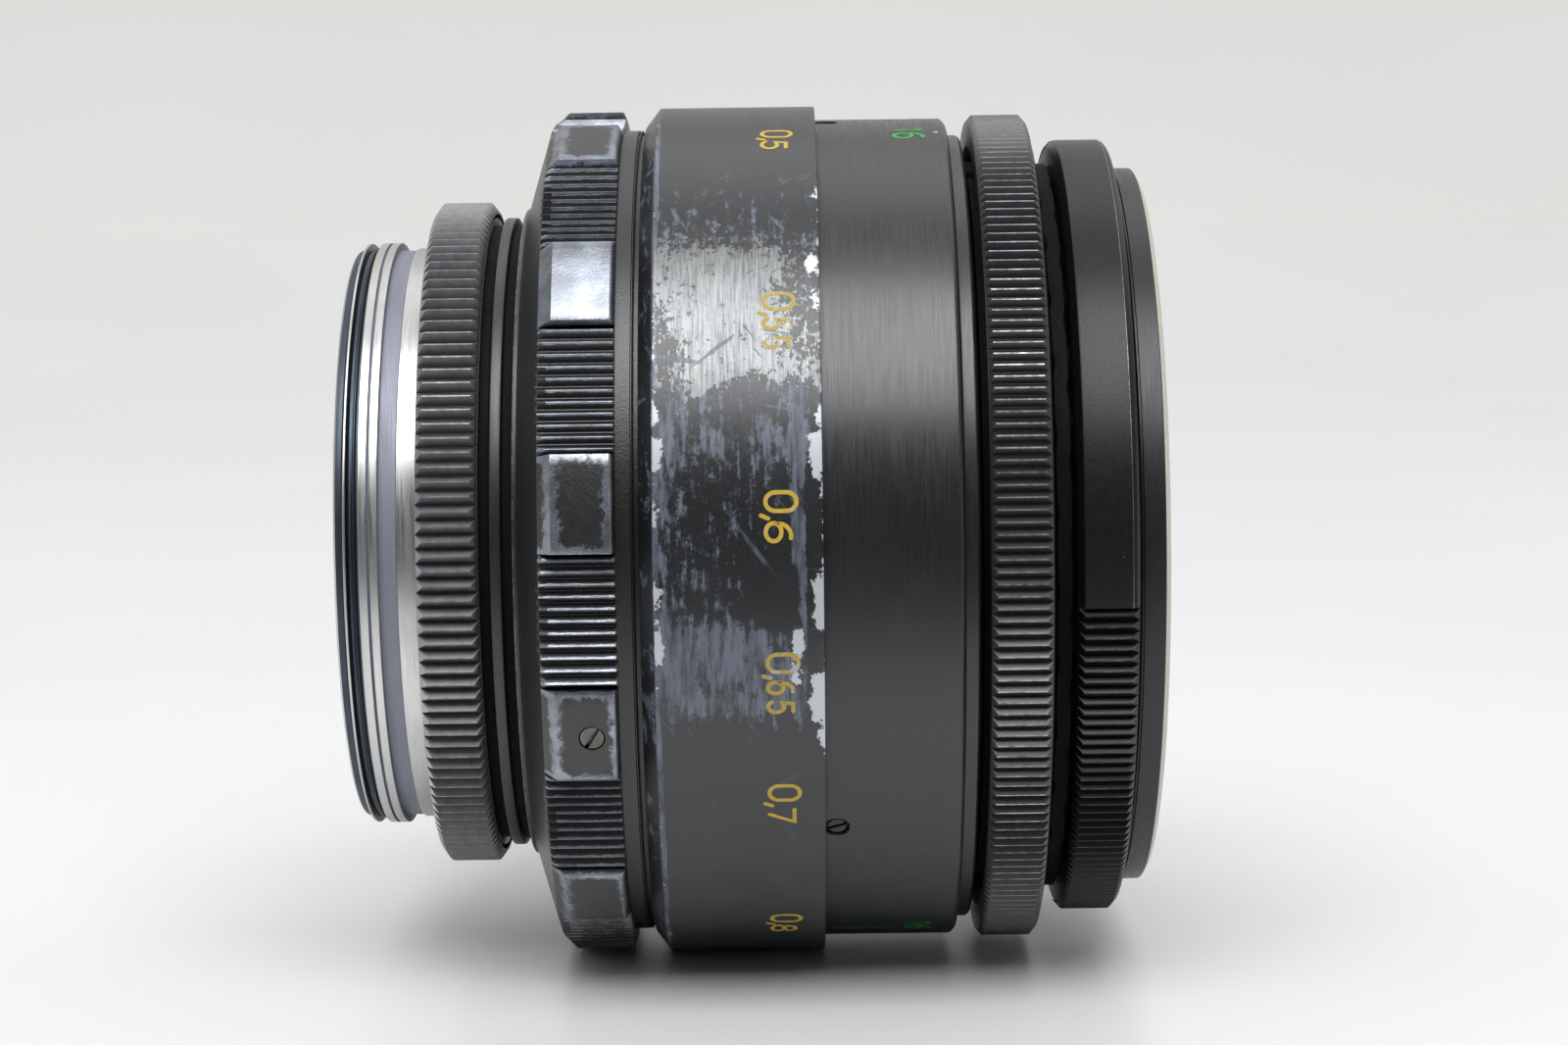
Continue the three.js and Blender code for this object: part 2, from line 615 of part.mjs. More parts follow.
function focusGripRing() {
  const bore = neckRadius + GAP;
  const toolRadius = Math.max(gripRadius, gripSpigotRadius) + OVERSHOOT;
  const coneTop = gripRadius - GRIP_CHAMFER;
  const blank = across(gripOutline(), GRIP_START, GRIP_END - GRIP_START);
  const outsideCone = turned(
    [
      [GRIP_START - OVERSHOOT, bore],
      [GRIP_START, bore],
      [GRIP_CONE_END, coneTop],
      [GRIP_CONE_END + GRIP_CHAMFER, gripRadius],
      [GRIP_CONE_END + GRIP_CHAMFER, toolRadius],
      [GRIP_START - OVERSHOOT, toolRadius],
    ],
    OUTER_FACETS * 2,
  );
  const band = turned(
    [
      [GRIP_END - OVERSHOOT, gripPocketRadius],
      [GRIP_END - OVERSHOOT, gripBandRadius],
      [bandEnd, gripBandRadius],
      [bandEnd, gripSpigotRadius],
      [gripSpigotEnd, gripSpigotRadius],
      [gripSpigotEnd, gripPocketRadius],
    ],
    OUTER_FACETS,
  );
  const through = turned(
    [[GRIP_START - OVERSHOOT, 0], [GRIP_START - OVERSHOOT, bore], [GRIP_WEB_END, bore],
      [GRIP_WEB_END, gripPocketRadius], [gripSpigotEnd + OVERSHOOT, gripPocketRadius],
      [gripSpigotEnd + OVERSHOOT, 0]],
    OUTER_FACETS,
  );
  const outside = join(cut(blank, [outsideCone]), [band]);
  return cut(outside, [through, ...gripScrewHoles(gripPocketRadius - OVERSHOOT)]);
}

function distanceScaleSleeve() {
  const lipEnd = sleeveStart + SLEEVE_LIP_LENGTH;
  return turned(
    [
      [sleeveStart, sleeveLipBore],
      [sleeveStart, sleeveRadius - SLEEVE_CHAMFER_DEPTH],
      [sleeveStart + SLEEVE_CHAMFER_LENGTH, sleeveRadius],
      [sleeveEnd, sleeveRadius],
      [sleeveEnd, sleeveBore],
      [lipEnd, sleeveBore],
      [lipEnd, sleeveLipBore],
    ],
    OUTER_FACETS,
  );
}

function helicoidNut() {
  const body = turned(
    [
      [nutSkirtStart, nutSkirtBore],
      [nutSkirtStart, nutRadius],
      [nutFlangeEnd, nutRadius],
      [nutFlangeEnd, nutNeckRadius],
      [nutEnd, nutNeckRadius],
      [nutEnd, guideBore],
      [nutFlangeStart, guideBore],
      [nutFlangeStart, nutSkirtBore],
    ],
    INNER_FACETS,
  );
  return cut(body, gripScrewHoles(gripRadius - GAP - GRIP_SCREW_DEPTH - GAP));
}

function gripSetScrew(angle) {
  const top = gripRadius - GAP;
  return radialScrew(GRIP_SCREW_STATION, angle, top, GRIP_SCREW_RADIUS, GRIP_SCREW_DEPTH / 2,
    GRIP_SCREW_RADIUS - GRIP_SCREW_STEP, GRIP_SCREW_DEPTH);
}

place("focus_grip_ring", focusGripRing(), BLACK);
place("distance_scale_sleeve", distanceScaleSleeve(), BLACK);
place("helicoid_nut", helicoidNut(), BRASS);
aroundRing(gripScrewAngle).forEach((angle, i) => {
  place(`grip_set_screw_${i + 1}`, gripSetScrew(angle), STEEL);
});

// ---- sliding barrel

function lensTube() {
  const body = turned(
    [
      [lensTubeStart, lensTubeBore],
      [lensTubeStart, lensTubeRadius],
      [lensTubeFlangeStart, lensTubeRadius],
      [lensTubeFlangeStart, flangeRadius],
      [lensTubeFlangeEnd, flangeRadius],
      [lensTubeFlangeEnd, lensTubeRadius],
      [lensTubeEnd, lensTubeRadius],
      [lensTubeEnd, lensTubeBore],
    ],
    INNER_FACETS,
  );
  const slots = KEY_ANGLES.map((angle) =>
    radialBlock(lensTubeStart - OVERSHOOT, keySlotEnd, angle, lensTubeBore - OVERSHOOT,
      lensTubeRadius + OVERSHOOT, KEY_WIDTH + 2 * GAP),
  );
  const screwTip = barrelRadius - GAP - BARREL_SCREW_LENGTH;
  const holes = aroundRing(BARREL_SCREW_ANGLE).map((angle) =>
    radialPin(barrelScrewStation, angle, screwTip - GAP, flangeRadius + OVERSHOOT,
      BARREL_SCREW_SHANK_RADIUS + GAP),
  );
  return cut(body, [...slots, ...holes]);
}

function frontBarrelShell() {
  const webStart = barrelEnd - BARREL_WEB_LENGTH;
  const body = turned(
    [
      [barrelStart, barrelBore],
      [barrelStart, barrelRadius],
      [barrelEnd - BARREL_CHAMFER, barrelRadius],
      [barrelEnd, barrelRadius - BARREL_CHAMFER],
      [barrelEnd, barrelLipRadius],
      [barrelLipEnd, barrelLipRadius],
      [barrelLipEnd, ringBore],
      [webStart, ringBore],
      [webStart, barrelBore],
    ],
    OUTER_FACETS,
  );
  const holes = aroundRing(BARREL_SCREW_ANGLE).map((angle) =>
    radialPin(barrelScrewStation, angle, flangeRadius, barrelRadius + OVERSHOOT,
      BARREL_SCREW_RADIUS + GAP),
  );
  return cut(body, holes);
}

function barrelScrew(angle) {
  return radialScrew(barrelScrewStation, angle, barrelRadius - GAP, BARREL_SCREW_RADIUS,
    BARREL_SCREW_HEAD_LENGTH, BARREL_SCREW_SHANK_RADIUS, BARREL_SCREW_LENGTH);
}

function frontHousing() {
  const flangeEnd = housingStart + HOUSING_FLANGE_LENGTH;
  const body = turned(
    [
      [housingStart, housingBore],
      [housingStart, flangeRadius],
      [flangeEnd, flangeRadius],
      [flangeEnd, housingRadius],
      [housingShoulderStart, housingRadius],
      [housingShoulderStart, housingShoulderRadius],
      [housingShoulderEnd, housingShoulderRadius],
      [housingShoulderEnd, housingRadius],
      [housingEnd, housingRadius],
      [housingEnd, housingFrontBore],
      [lensTubeEnd, housingFrontBore],
      [lensTubeEnd, housingBore],
    ],
    OUTER_FACETS,
  );
  const pinReach = DRIVE_PIN_RADIUS + GAP;
  const halfSlot = apertureHalfTurn + THREE.MathUtils.radToDeg(pinReach / housingFrontBore);
  const centre = 180 + DRIVE_PIN_ANGLE;
  const arc = sectorShape(housingFrontBore - OVERSHOOT, housingRadius + OVERSHOOT, centre - halfSlot,
    centre + halfSlot, OUTER_FACETS / 2);
  return cut(body, [across(arc, drivePinStation - pinReach, 2 * pinReach)]);
}

place("lens_tube", lensTube(), BARE);
place("front_barrel_shell", frontBarrelShell(), BLACK);
aroundRing(BARREL_SCREW_ANGLE).forEach((angle, i) => {
  place(`barrel_screw_${i + 1}`, barrelScrew(angle), STEEL);
});
place("front_housing", frontHousing(), DULL_BLACK);

// ---- front rim

function filterRim() {
  const crest = filterThreadRadius - FILTER_THREAD_DEPTH;
  const chamferStart = rimEnd - RIM_CHAMFER_LENGTH;
  return turned(
    [
      [rimStart, crest],
      [rimStart, rimRadius],
      [chamferStart, rimRadius],
      [rimEnd, rimRadius - RIM_CHAMFER_DEPTH],
      [rimEnd, filterThreadRadius],
      [chamferStart, crest],
      [(rimStart + rimEnd) / 2, filterThreadRadius],
    ],
    OUTER_FACETS,
  );
}

place("filter_rim", filterRim(), BLACK);

// ---- optical cells and elements

const frontCellBore = FRONT_CROWN.radius + GAP;
const frontCellMouth = FRONT_ELEMENT.radius + GAP;
const frontFlintRim = surfaceStation(frontFlintRear, FRONT_FLINT.rear, FRONT_FLINT.clear);
const frontCellStart = frontFlintRim - GAP - CELL_LIP_LENGTH;
const frontSeat = surfaceStation(frontElementRear, FRONT_ELEMENT.rear, FRONT_ELEMENT.radius) - GAP;
const retainerStart = surfaceStation(frontVertex, FRONT_ELEMENT.front,
  FRONT_ELEMENT.radius - RETAINER_WALL) + GAP;
const retainerEnd = retainerStart + RETAINER_LENGTH;

function frontCell() {
  const flangeStart = housingEnd + GAP;
  const flangeEnd = flangeStart + FRONT_CELL_FLANGE_LENGTH;
  const mouthRadius = housingRadius - FRONT_CELL_MOUTH_INSET;
  return turned(
    [
      [frontCellStart, FRONT_FLINT.clear + GAP],
      [frontCellStart, frontCellRadius],
      [linkStepEnd + GAP, frontCellRadius],
      [linkStepEnd + GAP, frontCellFrontRadius],
      [flangeStart, frontCellFrontRadius],
      [flangeStart, housingRadius],
      [flangeEnd, housingRadius],
      [flangeEnd, mouthRadius],
      [flangeStart, frontCellFrontRadius - FRONT_CELL_THROAT_WALL],
      [retainerEnd + GAP, frontCellMouth],
      [frontSeat, frontCellMouth],
      [frontSeat, frontCellBore],
      [frontFlintRim - GAP, frontCellBore],
      [frontFlintRim - GAP, FRONT_FLINT.clear + GAP],
    ],
    INNER_FACETS,
  );
}

function frontSpacerRing() {
  const bore = FRONT_CROWN.radius - SPACER_WALL;
  const start = surfaceStation(frontCrownFront, FRONT_CROWN.front, bore) + GAP;
  const end = surfaceStation(frontElementRear, FRONT_ELEMENT.rear, FRONT_CROWN.radius) - 2 * GAP;
  return tube(start, end, bore, FRONT_CROWN.radius, INNER_FACETS);
}

function frontElement() {
  return turned(
    [
      ...surface(frontVertex, FRONT_ELEMENT.front, 0, FRONT_ELEMENT.radius),
      ...surface(frontElementRear, FRONT_ELEMENT.rear, FRONT_ELEMENT.radius, 0),
    ],
    INNER_FACETS,
  );
}

function frontCrown() {
  return turned(
    [
      ...surface(frontCrownFront, FRONT_CROWN.front, 0, FRONT_CROWN.radius),
      [frontCement, FRONT_CROWN.radius],
      [frontCement, 0],
    ],
    INNER_FACETS,
  );
}

function frontFlint() {
  const front = frontCement - CEMENT;
  return turned(
    [
      [front, 0],
      [front, FRONT_FLINT.radius],
      [frontFlintRim, FRONT_FLINT.radius],
      ...surface(frontFlintRear, FRONT_FLINT.rear, FRONT_FLINT.clear, 0),
    ],
    INNER_FACETS,
  );
}

place("front_cell", frontCell(), DULL_BLACK);
place("front_spacer_ring", frontSpacerRing(), DULL_BLACK);
place("front_retaining_ring",
  tube(retainerStart, retainerEnd, FRONT_ELEMENT.radius - RETAINER_WALL, FRONT_ELEMENT.radius, INNER_FACETS),
  DULL_BLACK);
place("front_element", frontElement(), GLASS);
place("front_crown_element", frontCrown(), GLASS);
place("front_flint_element", frontFlint(), GLASS);

const rearFlintRim = surfaceStation(rearFlintFront, REAR_FLINT.front, REAR_FLINT.clear);
const rearCellBore = REAR_FLINT.radius + GAP;
const rearCellMouth = REAR_ELEMENT.radius + GAP;
const rearSpacerBore = REAR_ELEMENT.radius - REAR_SPACER_WALL;
const rearSpacerEnd = surfaceStation(rearCrownRear, REAR_CROWN.rear, rearSpacerBore) - GAP;
const rearSpacerStart = surfaceStation(rearElementFront, REAR_ELEMENT.front, rearSpacerBore) + GAP;
const rearRetainerBore = REAR_ELEMENT.radius - REAR_RETAINER_WALL;
const rearRetainerEnd = surfaceStation(rearVertex, REAR_ELEMENT.rear, rearRetainerBore) - GAP;

function rearCell() {
  const start = rearVertex - REAR_CELL_OVERHANG;
  const end = irisBaseStart - GAP;
  const flangeStart = end - REAR_CELL_FLANGE_LENGTH;
  const step = rearSpacerEnd + GAP;
  return turned(
    [
      [start, rearCellMouth],
      [start, rearCellRadius],
      [flangeStart, rearCellRadius],
      [flangeStart, irisRadius],
      [end, irisRadius],
      [end, IRIS_CLEAR_RADIUS],
      [rearFlintRim + GAP, IRIS_CLEAR_RADIUS],
      [rearFlintRim + GAP, rearCellBore],
      [step, rearCellBore],
      [step, rearCellMouth],
    ],
    INNER_FACETS,
  );
}

function rearFlint() {
  return turned(
    [
      ...surface(rearFlintFront, REAR_FLINT.front, 0, REAR_FLINT.clear),
      [rearFlintRim, REAR_FLINT.radius],
      [rearCement, REAR_FLINT.radius],
      [rearCement, 0],
    ],
    INNER_FACETS,
  );
}

function rearCrown() {
  const front = rearCement - CEMENT;
  return turned(
    [
      [front, 0],
      [front, REAR_CROWN.radius],
      ...surface(rearCrownRear, REAR_CROWN.rear, REAR_CROWN.radius, 0),
    ],
    INNER_FACETS,
  );
}

function rearElement() {
  return turned(
    [
      ...surface(rearElementFront, REAR_ELEMENT.front, 0, REAR_ELEMENT.radius),
      ...surface(rearVertex, REAR_ELEMENT.rear, REAR_ELEMENT.radius, 0),
    ],
    INNER_FACETS,
  );
}

place("rear_cell", rearCell(), DULL_BLACK);
place("rear_flint_element", rearFlint(), GLASS);
place("rear_crown_element", rearCrown(), GLASS);
place("rear_element", rearElement(), GLASS);
place("rear_spacer_ring",
  tube(rearSpacerStart, rearSpacerEnd, rearSpacerBore, REAR_ELEMENT.radius, INNER_FACETS), DULL_BLACK);
place("rear_retaining_ring",
  tube(rearRetainerEnd - REAR_RETAINER_LENGTH, rearRetainerEnd, rearRetainerBore, REAR_ELEMENT.radius,
    INNER_FACETS), DULL_BLACK);

// ---- preset stop

function presetNotchRing() {
  const body = tube(notchRingStart, notchRingEnd, ringBore, notchRingRadius, OUTER_FACETS);
  const notches = Array.from({ length: PRESET_STOPS }, (_, i) =>
    radialBlock(notchRingStart - OVERSHOOT, notchRingEnd + OVERSHOOT,
      PRESET_TOOTH_ANGLE + (i - PRESET_STOP_AT_REST) * PRESET_STOP_ANGLE,
      notchRingRadius - NOTCH_DEPTH, notchRingRadius + OVERSHOOT, PRESET_TOOTH_WIDTH + 2 * GAP),
  );
  return cut(body, notches);
}

function presetSleeve() {
  const body = turned(
    [
      [presetSleeveStart, ringBore],
      [presetSleeveStart, presetSleeveRadius],
      [presetFlangeStart, presetSleeveRadius],
      [presetFlangeStart, presetFlangeRadius],
      [presetSleeveEnd, presetFlangeRadius],
      [presetSleeveEnd, ringBore],
    ],
    OUTER_FACETS,
  );
  const keyway = radialBlock(presetSleeveStart - OVERSHOOT, presetFlangeStart, PRESET_TOOTH_ANGLE,
    presetToothTip - GAP, presetPocketRadius, PRESET_TOOTH_WIDTH + 2 * GAP);
  return cut(body, [keyway]);
}

function presetRing() {
  const body = turned(
    [
      [presetStart, presetBore],
      [presetStart, presetRadius - PRESET_CHAMFER],
      [presetStart + PRESET_CHAMFER, presetRadius],
      [presetEnd - PRESET_CHAMFER, presetRadius],
      [presetEnd, presetRadius - PRESET_CHAMFER],
      [presetEnd, presetPocketRadius],
      [presetPocketStart, presetPocketRadius],
      [presetPocketStart, presetBore],
    ],
    OUTER_FACETS,
  );
  const tooth = radialBlock(presetStart, presetStart + PRESET_TOOTH_LENGTH, PRESET_TOOTH_ANGLE,
    presetToothTip, presetBore + GAP, PRESET_TOOTH_WIDTH);
  return join(body, [tooth]);
}

// A flat ring whose faces rise and fall along the axis in a few lobes.
function presetWaveSpring() {
  const centre = (presetPocketStart + presetFlangeStart) / 2;
  const half = SPRING_THICKNESS / 2;
  const ring = tube(centre - half, centre + half, presetBore, presetFlangeRadius, OUTER_FACETS);
  const points = ring.attributes.position;
  for (let i = 0; i < points.count; i += 1) {
    const angle = Math.atan2(points.getZ(i), points.getY(i));
    points.setX(i, points.getX(i) + SPRING_WAVE * Math.cos(SPRING_LOBES * angle));
  }
  return ring;
}

place("preset_notch_ring", presetNotchRing(), BRASS);
place("preset_sleeve", presetSleeve(), DULL_BLACK);
place("preset_ring", presetRing(), BLACK);
place("preset_wave_spring", presetWaveSpring(), STEEL);

// ---- aperture ring and iris

function apertureRing() {
  const body = turned(
    [
      [apertureStart, ringBore],
      [apertureStart, apertureRadius - APERTURE_CHAMFER],
      [apertureStart + APERTURE_CHAMFER, apertureRadius],
      [apertureEnd - APERTURE_CHAMFER, apertureRadius],
      [apertureEnd, apertureRadius - APERTURE_CHAMFER],
      [apertureEnd, ringBore],
    ],
    OUTER_FACETS,
  );
  const socket = radialPin(drivePinStation, DRIVE_PIN_ANGLE, housingRadius, ringBore + DRIVE_PIN_SOCKET,
    DRIVE_PIN_RADIUS + GAP);
  return cut(body, [socket]);
}

function apertureLinkSleeve() {
  const body = turned(
    [
      [linkStart, linkBore],
      [linkStart, linkRadius],
      [linkStepStart, linkRadius],
      [linkStepStart, linkFrontRadius],
      [linkEnd, linkFrontRadius],
      [linkEnd, linkFrontBore],
      [linkStepEnd, linkFrontBore],
      [linkStepEnd, linkBore],
    ],
    INNER_FACETS,
  );
  const socket = radialPin(drivePinStation, DRIVE_PIN_ANGLE, linkFrontBore - OVERSHOOT,
    linkFrontRadius + OVERSHOOT, DRIVE_PIN_RADIUS + GAP);
  return cut(body, [socket]);
}

// A crescent that is pivoted near one end and shown part closed.
function irisBlade(index) {
  const pivotAngle = (index * 360) / IRIS_BLADES;
  const lead = THREE.MathUtils.radToDeg(
    (IRIS_BLADE_OUTER_RADIUS - IRIS_PIVOT_RADIUS) / IRIS_PIVOT_RADIUS,
  );
  const crescent = sectorShape(IRIS_CLEAR_RADIUS, IRIS_BLADE_OUTER_RADIUS, -lead,
    IRIS_BLADE_ANGLE, IRIS_BLADE_STEPS);
  const start = irisBladesStart + index * IRIS_BLADE_PITCH;
  return across(crescent, start, IRIS_BLADE_THICKNESS)
    .translate(0, -IRIS_PIVOT_RADIUS, 0)
    .rotateX(radians(IRIS_CLOSING_ANGLE / 2))
    .translate(0, IRIS_PIVOT_RADIUS, 0)
    .rotateX(radians(pivotAngle));
}

place("aperture_ring", apertureRing(), BLACK);
place("aperture_drive_pin",
  radialPin(drivePinStation, DRIVE_PIN_ANGLE, linkFrontBore + GAP, ringBore + DRIVE_PIN_SOCKET - GAP,
    DRIVE_PIN_RADIUS), STEEL);
place("aperture_link_sleeve", apertureLinkSleeve(), DULL_BLACK);
place("iris_drive_ring", tube(irisDriveStart, irisDriveEnd, IRIS_CLEAR_RADIUS, irisRadius, INNER_FACETS),
  DULL_BLACK);
place("iris_base_ring",
  tube(irisBaseStart, irisBaseStart + IRIS_RING_LENGTH, IRIS_CLEAR_RADIUS, irisRadius, INNER_FACETS),
  DULL_BLACK);
for (let i = 0; i < IRIS_BLADES; i += 1) {
  place(`iris_blade_${i + 1}`, irisBlade(i), STEEL);
}

export default lens;
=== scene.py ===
import json
import math

import bmesh
import bpy
from mathutils import Matrix, Vector, noise


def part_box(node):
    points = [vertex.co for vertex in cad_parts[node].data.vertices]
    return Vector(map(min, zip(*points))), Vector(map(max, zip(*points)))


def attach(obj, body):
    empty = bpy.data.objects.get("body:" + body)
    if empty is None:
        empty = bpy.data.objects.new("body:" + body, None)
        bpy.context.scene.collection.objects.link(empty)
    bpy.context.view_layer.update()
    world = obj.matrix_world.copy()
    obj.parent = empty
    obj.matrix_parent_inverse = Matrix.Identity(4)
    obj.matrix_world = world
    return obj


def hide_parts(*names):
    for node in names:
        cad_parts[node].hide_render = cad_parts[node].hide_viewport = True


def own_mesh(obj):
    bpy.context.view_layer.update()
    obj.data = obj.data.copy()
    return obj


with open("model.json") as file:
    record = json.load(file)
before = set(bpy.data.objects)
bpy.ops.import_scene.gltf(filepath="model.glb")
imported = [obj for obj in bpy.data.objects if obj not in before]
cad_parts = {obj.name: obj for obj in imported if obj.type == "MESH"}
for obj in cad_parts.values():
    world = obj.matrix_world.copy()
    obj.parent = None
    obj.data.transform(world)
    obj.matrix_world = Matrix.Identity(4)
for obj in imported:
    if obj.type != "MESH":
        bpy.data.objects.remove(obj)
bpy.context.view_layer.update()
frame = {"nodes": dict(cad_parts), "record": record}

# ------------------------------------------------------------------ places read from the frame

MM = 0.001
# Stations count in mm along the lens axis from the flange seat, angles in degrees from the side
# that faces -Y, growing towards the table.
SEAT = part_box("rear_knurled_ring")[0].x
AXIS_Z = (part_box("distance_scale_sleeve")[0].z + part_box("distance_scale_sleeve")[1].z) / 2
# how far the viewer looks down on the lens, in degrees
VIEW_TILT = 6.0
BLACK_SLOT = "black_anodised_aluminium"


def span(node):
    low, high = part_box(node)
    return (low.x - SEAT) / MM, (high.x - SEAT) / MM


def point(station, radius, angle):
    a = math.radians(angle)
    return (SEAT + station * MM, -radius * MM * math.cos(a), AXIS_Z - radius * MM * math.sin(a))


# ------------------------------------------------------------------ mesh helpers

def soften(profile, size=0.08, steps=2):
    """Rounds each corner of a closed profile."""
    out = []
    n = len(profile)
    for i in range(n):
        a, b, c = (Vector(profile[(i + k - 1) % n]) for k in range(3))
        u, v = a - b, c - b
        if u.length < 1e-6 or v.length < 1e-6 or abs(u.angle(v) - math.pi) < 0.1:
            out.append(tuple(b))
            continue
        r = min(size, 0.45 * u.length, 0.45 * v.length)
        p, q = b + u.normalized() * r, b + v.normalized() * r
        for k in range(steps + 1):
            t = k / steps
            out.append(tuple(p * (1 - t) ** 2 + b * 2 * t * (1 - t) + q * t * t))
    return out


def divided(profile, step):
    """Adds points so that no side of a closed profile is longer than step."""
    out = []
    for i, a in enumerate(profile):
        b = profile[(i + 1) % len(profile)]
        length = math.dist(a, b)
        n = max(1, math.ceil(length / step))
        out += [(a[0] + (b[0] - a[0]) * k / n, a[1] + (b[1] - a[1]) * k / n) for k in range(n)]
    return out


def shade(mesh, sharp):
    """Shades a mesh smooth, with a crease wherever it bends by more than sharp degrees."""
    mesh.polygons.foreach_set("use_smooth", [True] * len(mesh.polygons))
    mesh.set_sharp_from_angle(angle=math.radians(sharp))


def show(name, mesh, look):
    mesh.materials.append(look)
    obj = bpy.data.objects.new(name, mesh)
    bpy.context.scene.collection.objects.link(obj)
    return obj


def finish_mesh(name, verts, faces, look, sharp=35):
    mesh = bpy.data.meshes.new(name)
    mesh.from_pydata(verts, [], faces)
    shade(mesh, sharp)
    return show(name, mesh, look)


def cut(obj, tool):
    """Takes the shape of tool out of obj and returns obj's new mesh."""
    change = obj.modifiers.new("cut", "BOOLEAN")
    change.object, change.operation, change.solver = tool, "DIFFERENCE", "EXACT"
    mesh = bpy.data.meshes.new_from_object(obj.evaluated_get(bpy.context.evaluated_depsgraph_get()))
    obj.modifiers.clear()
    obj.data = mesh
    bpy.data.objects.remove(tool)
    return mesh


def place_of(face):
    """The station and radius of a face's middle."""
    c = face.center
    return (c.x - SEAT) / MM, math.hypot(c.y, c.z - AXIS_Z) / MM


def paint(obj, values):
    """Stores (r, g, b) per point for the wear masks of a material."""
    layer = obj.data.attributes.new("wear", "FLOAT_COLOR", "POINT")
    flat = []
    for r, g, b in values:
        flat += [r, g, b, 1.0]
    layer.data.foreach_set("color", flat)


def ring(name, profile, look, angles=256, shape=None, wear=None, sharp=35):
    """A closed profile of (station, radius) points turned about the lens axis. shape(s, r, angle) may
    change a point's radius, and wear(s, r, angle, new radius) gives its wear mask."""
    if isinstance(angles, int):
        angles = [i * 360 / angles for i in range(angles)]
    twice_area = sum(a[0] * b[1] - b[0] * a[1] for a, b in zip(profile, profile[1:] + profile[:1]))
    if twice_area > 0:
        profile = profile[::-1]
    m, n = len(profile), len(angles)
    verts, masks = [], []
    for angle in angles:
        for s, r in profile:
            reach = shape(s, r, angle) if shape else r
            verts.append(point(s, reach, angle))
            if wear:
                masks.append(wear(s, r, angle, reach))
    faces = []
    for i in range(n):
        j = (i + 1) % n
        for k in range(m):
            l = (k + 1) % m
            faces.append((i * m + k, i * m + l, j * m + l, j * m + k))
    obj = finish_mesh(name, verts, faces, look, sharp)
    if masks:
        paint(obj, masks)
    return obj


def dome(name, front, rear, look, angles=160):
    """A lens element: front and rear are lists of (station, radius) from the axis out."""
    profile = front[1:] + rear[:0:-1]
    m = len(profile)
    verts = [point(s, r, i * 360 / angles) for i in range(angles) for s, r in profile]
    faces = [(i * m + k, i * m + k + 1, (i + 1) % angles * m + k + 1, (i + 1) % angles * m + k)
             for i in range(angles) for k in range(m - 1)]
    tip_front, tip_rear = len(verts), len(verts) + 1
    verts += [point(*front[0], 0), point(*rear[0], 0)]
    for i in range(angles):
        j = (i + 1) % angles
        faces.append((tip_front, i * m, j * m))
        faces.append((tip_rear, j * m + m - 1, i * m + m - 1))
    return finish_mesh(name, verts, faces, look, 40)


def arc_points(vertex, curve, radius, steps=16):
    """A spherical surface from the axis out, as (station, radius) points. A positive curve bulges to
    the front."""
    out = []
    for i in range(steps + 1):
        r = radius * i / steps
        out.append((vertex - math.copysign(abs(curve) - math.sqrt(curve * curve - r * r), curve), r))
    return out


def adopt(obj, body, slot, *nodes):
    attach(obj, body)
    if nodes:
        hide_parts(*nodes)
    return obj


def knurl(name, start, end, crest, depth, count, first, look, bevel, flat=0.08, where=None, worn=0.5,
          ends=(1.0, 0.0)):
    """Straight V teeth on a ring, each with a narrow crest and a slanted facet at both ends. where(angle)
    says whether a tooth stands there, and ends how bright the rear and the front facet are worn."""
    verts, faces, masks = [], [], []
    pitch = 360 / count
    low = crest - depth
    half = math.degrees(flat / 2 / crest)
    for i in range(count):
        middle = first + i * pitch
        if where and not where(middle % 360):
            continue
        region = worn + 0.35 * (speck(i, middle, 0.3, 3) - 0.5)
        a, b = middle - pitch / 2, middle + pitch / 2
        c, d = middle - half, middle + half
        rear, front = start + bevel, end - bevel
        foot = [(start, low, a), (end, low, a), (end, low, b), (start, low, b)]
        top = [(rear, crest, c), (front, crest, c), (front, crest, d), (rear, crest, d)]
        # each face with how far it is rubbed; a flank has no value of its own and is rubbed at its top
        quads = [((foot[0], foot[1], top[1], top[0]), None), ((top[3], top[2], foot[2], foot[3]), None),
                 (top, 0.95), ((foot[0], top[0], top[3], foot[3]), ends[0]),
                 ((foot[1], foot[2], top[2], top[1]), ends[1])]
        for quad, rub in quads:
            base = len(verts)
            for s, r, angle in quad:
                verts.append(point(s, r, angle))
                high = r > crest - 0.01
                red = 0.35 * high if rub is None else rub
                # the blue value darkens the feet of the flanks and the little-rubbed end facets: painted
                # shade
                dark = not high and (rub is None or rub <= 0.4)
                masks.append((red, region, float(dark)))
            faces.append((base, base + 1, base + 2, base + 3))
    obj = finish_mesh(name, verts, faces, look, 10)
    obj.data.polygons.foreach_set("use_smooth", [False] * len(obj.data.polygons))
    paint(obj, masks)
    return obj


def smooth(low, high, x):
    """0 at low and 1 at high, with an even slope between."""
    t = min(1, max(0, (x - low) / (high - low)))
    return t * t * (3 - 2 * t)


def zone(x, off, on, still_on, off_again):
    """1 from on to still_on, fading to 0 at off and at off_again."""
    return smooth(off, on, x) * smooth(off_again, still_on, x)


def speck(s, angle, scale, seed=0):
    """Even noise over the lens's surface, from about 0 to 1."""
    a = math.radians(angle)
    v = Vector((s * scale, 30 * math.cos(a) * scale, 30 * math.sin(a) * scale + seed * 17.3))
    return 0.5 + 0.5 * noise.noise(v)


# ------------------------------------------------------------------ materials

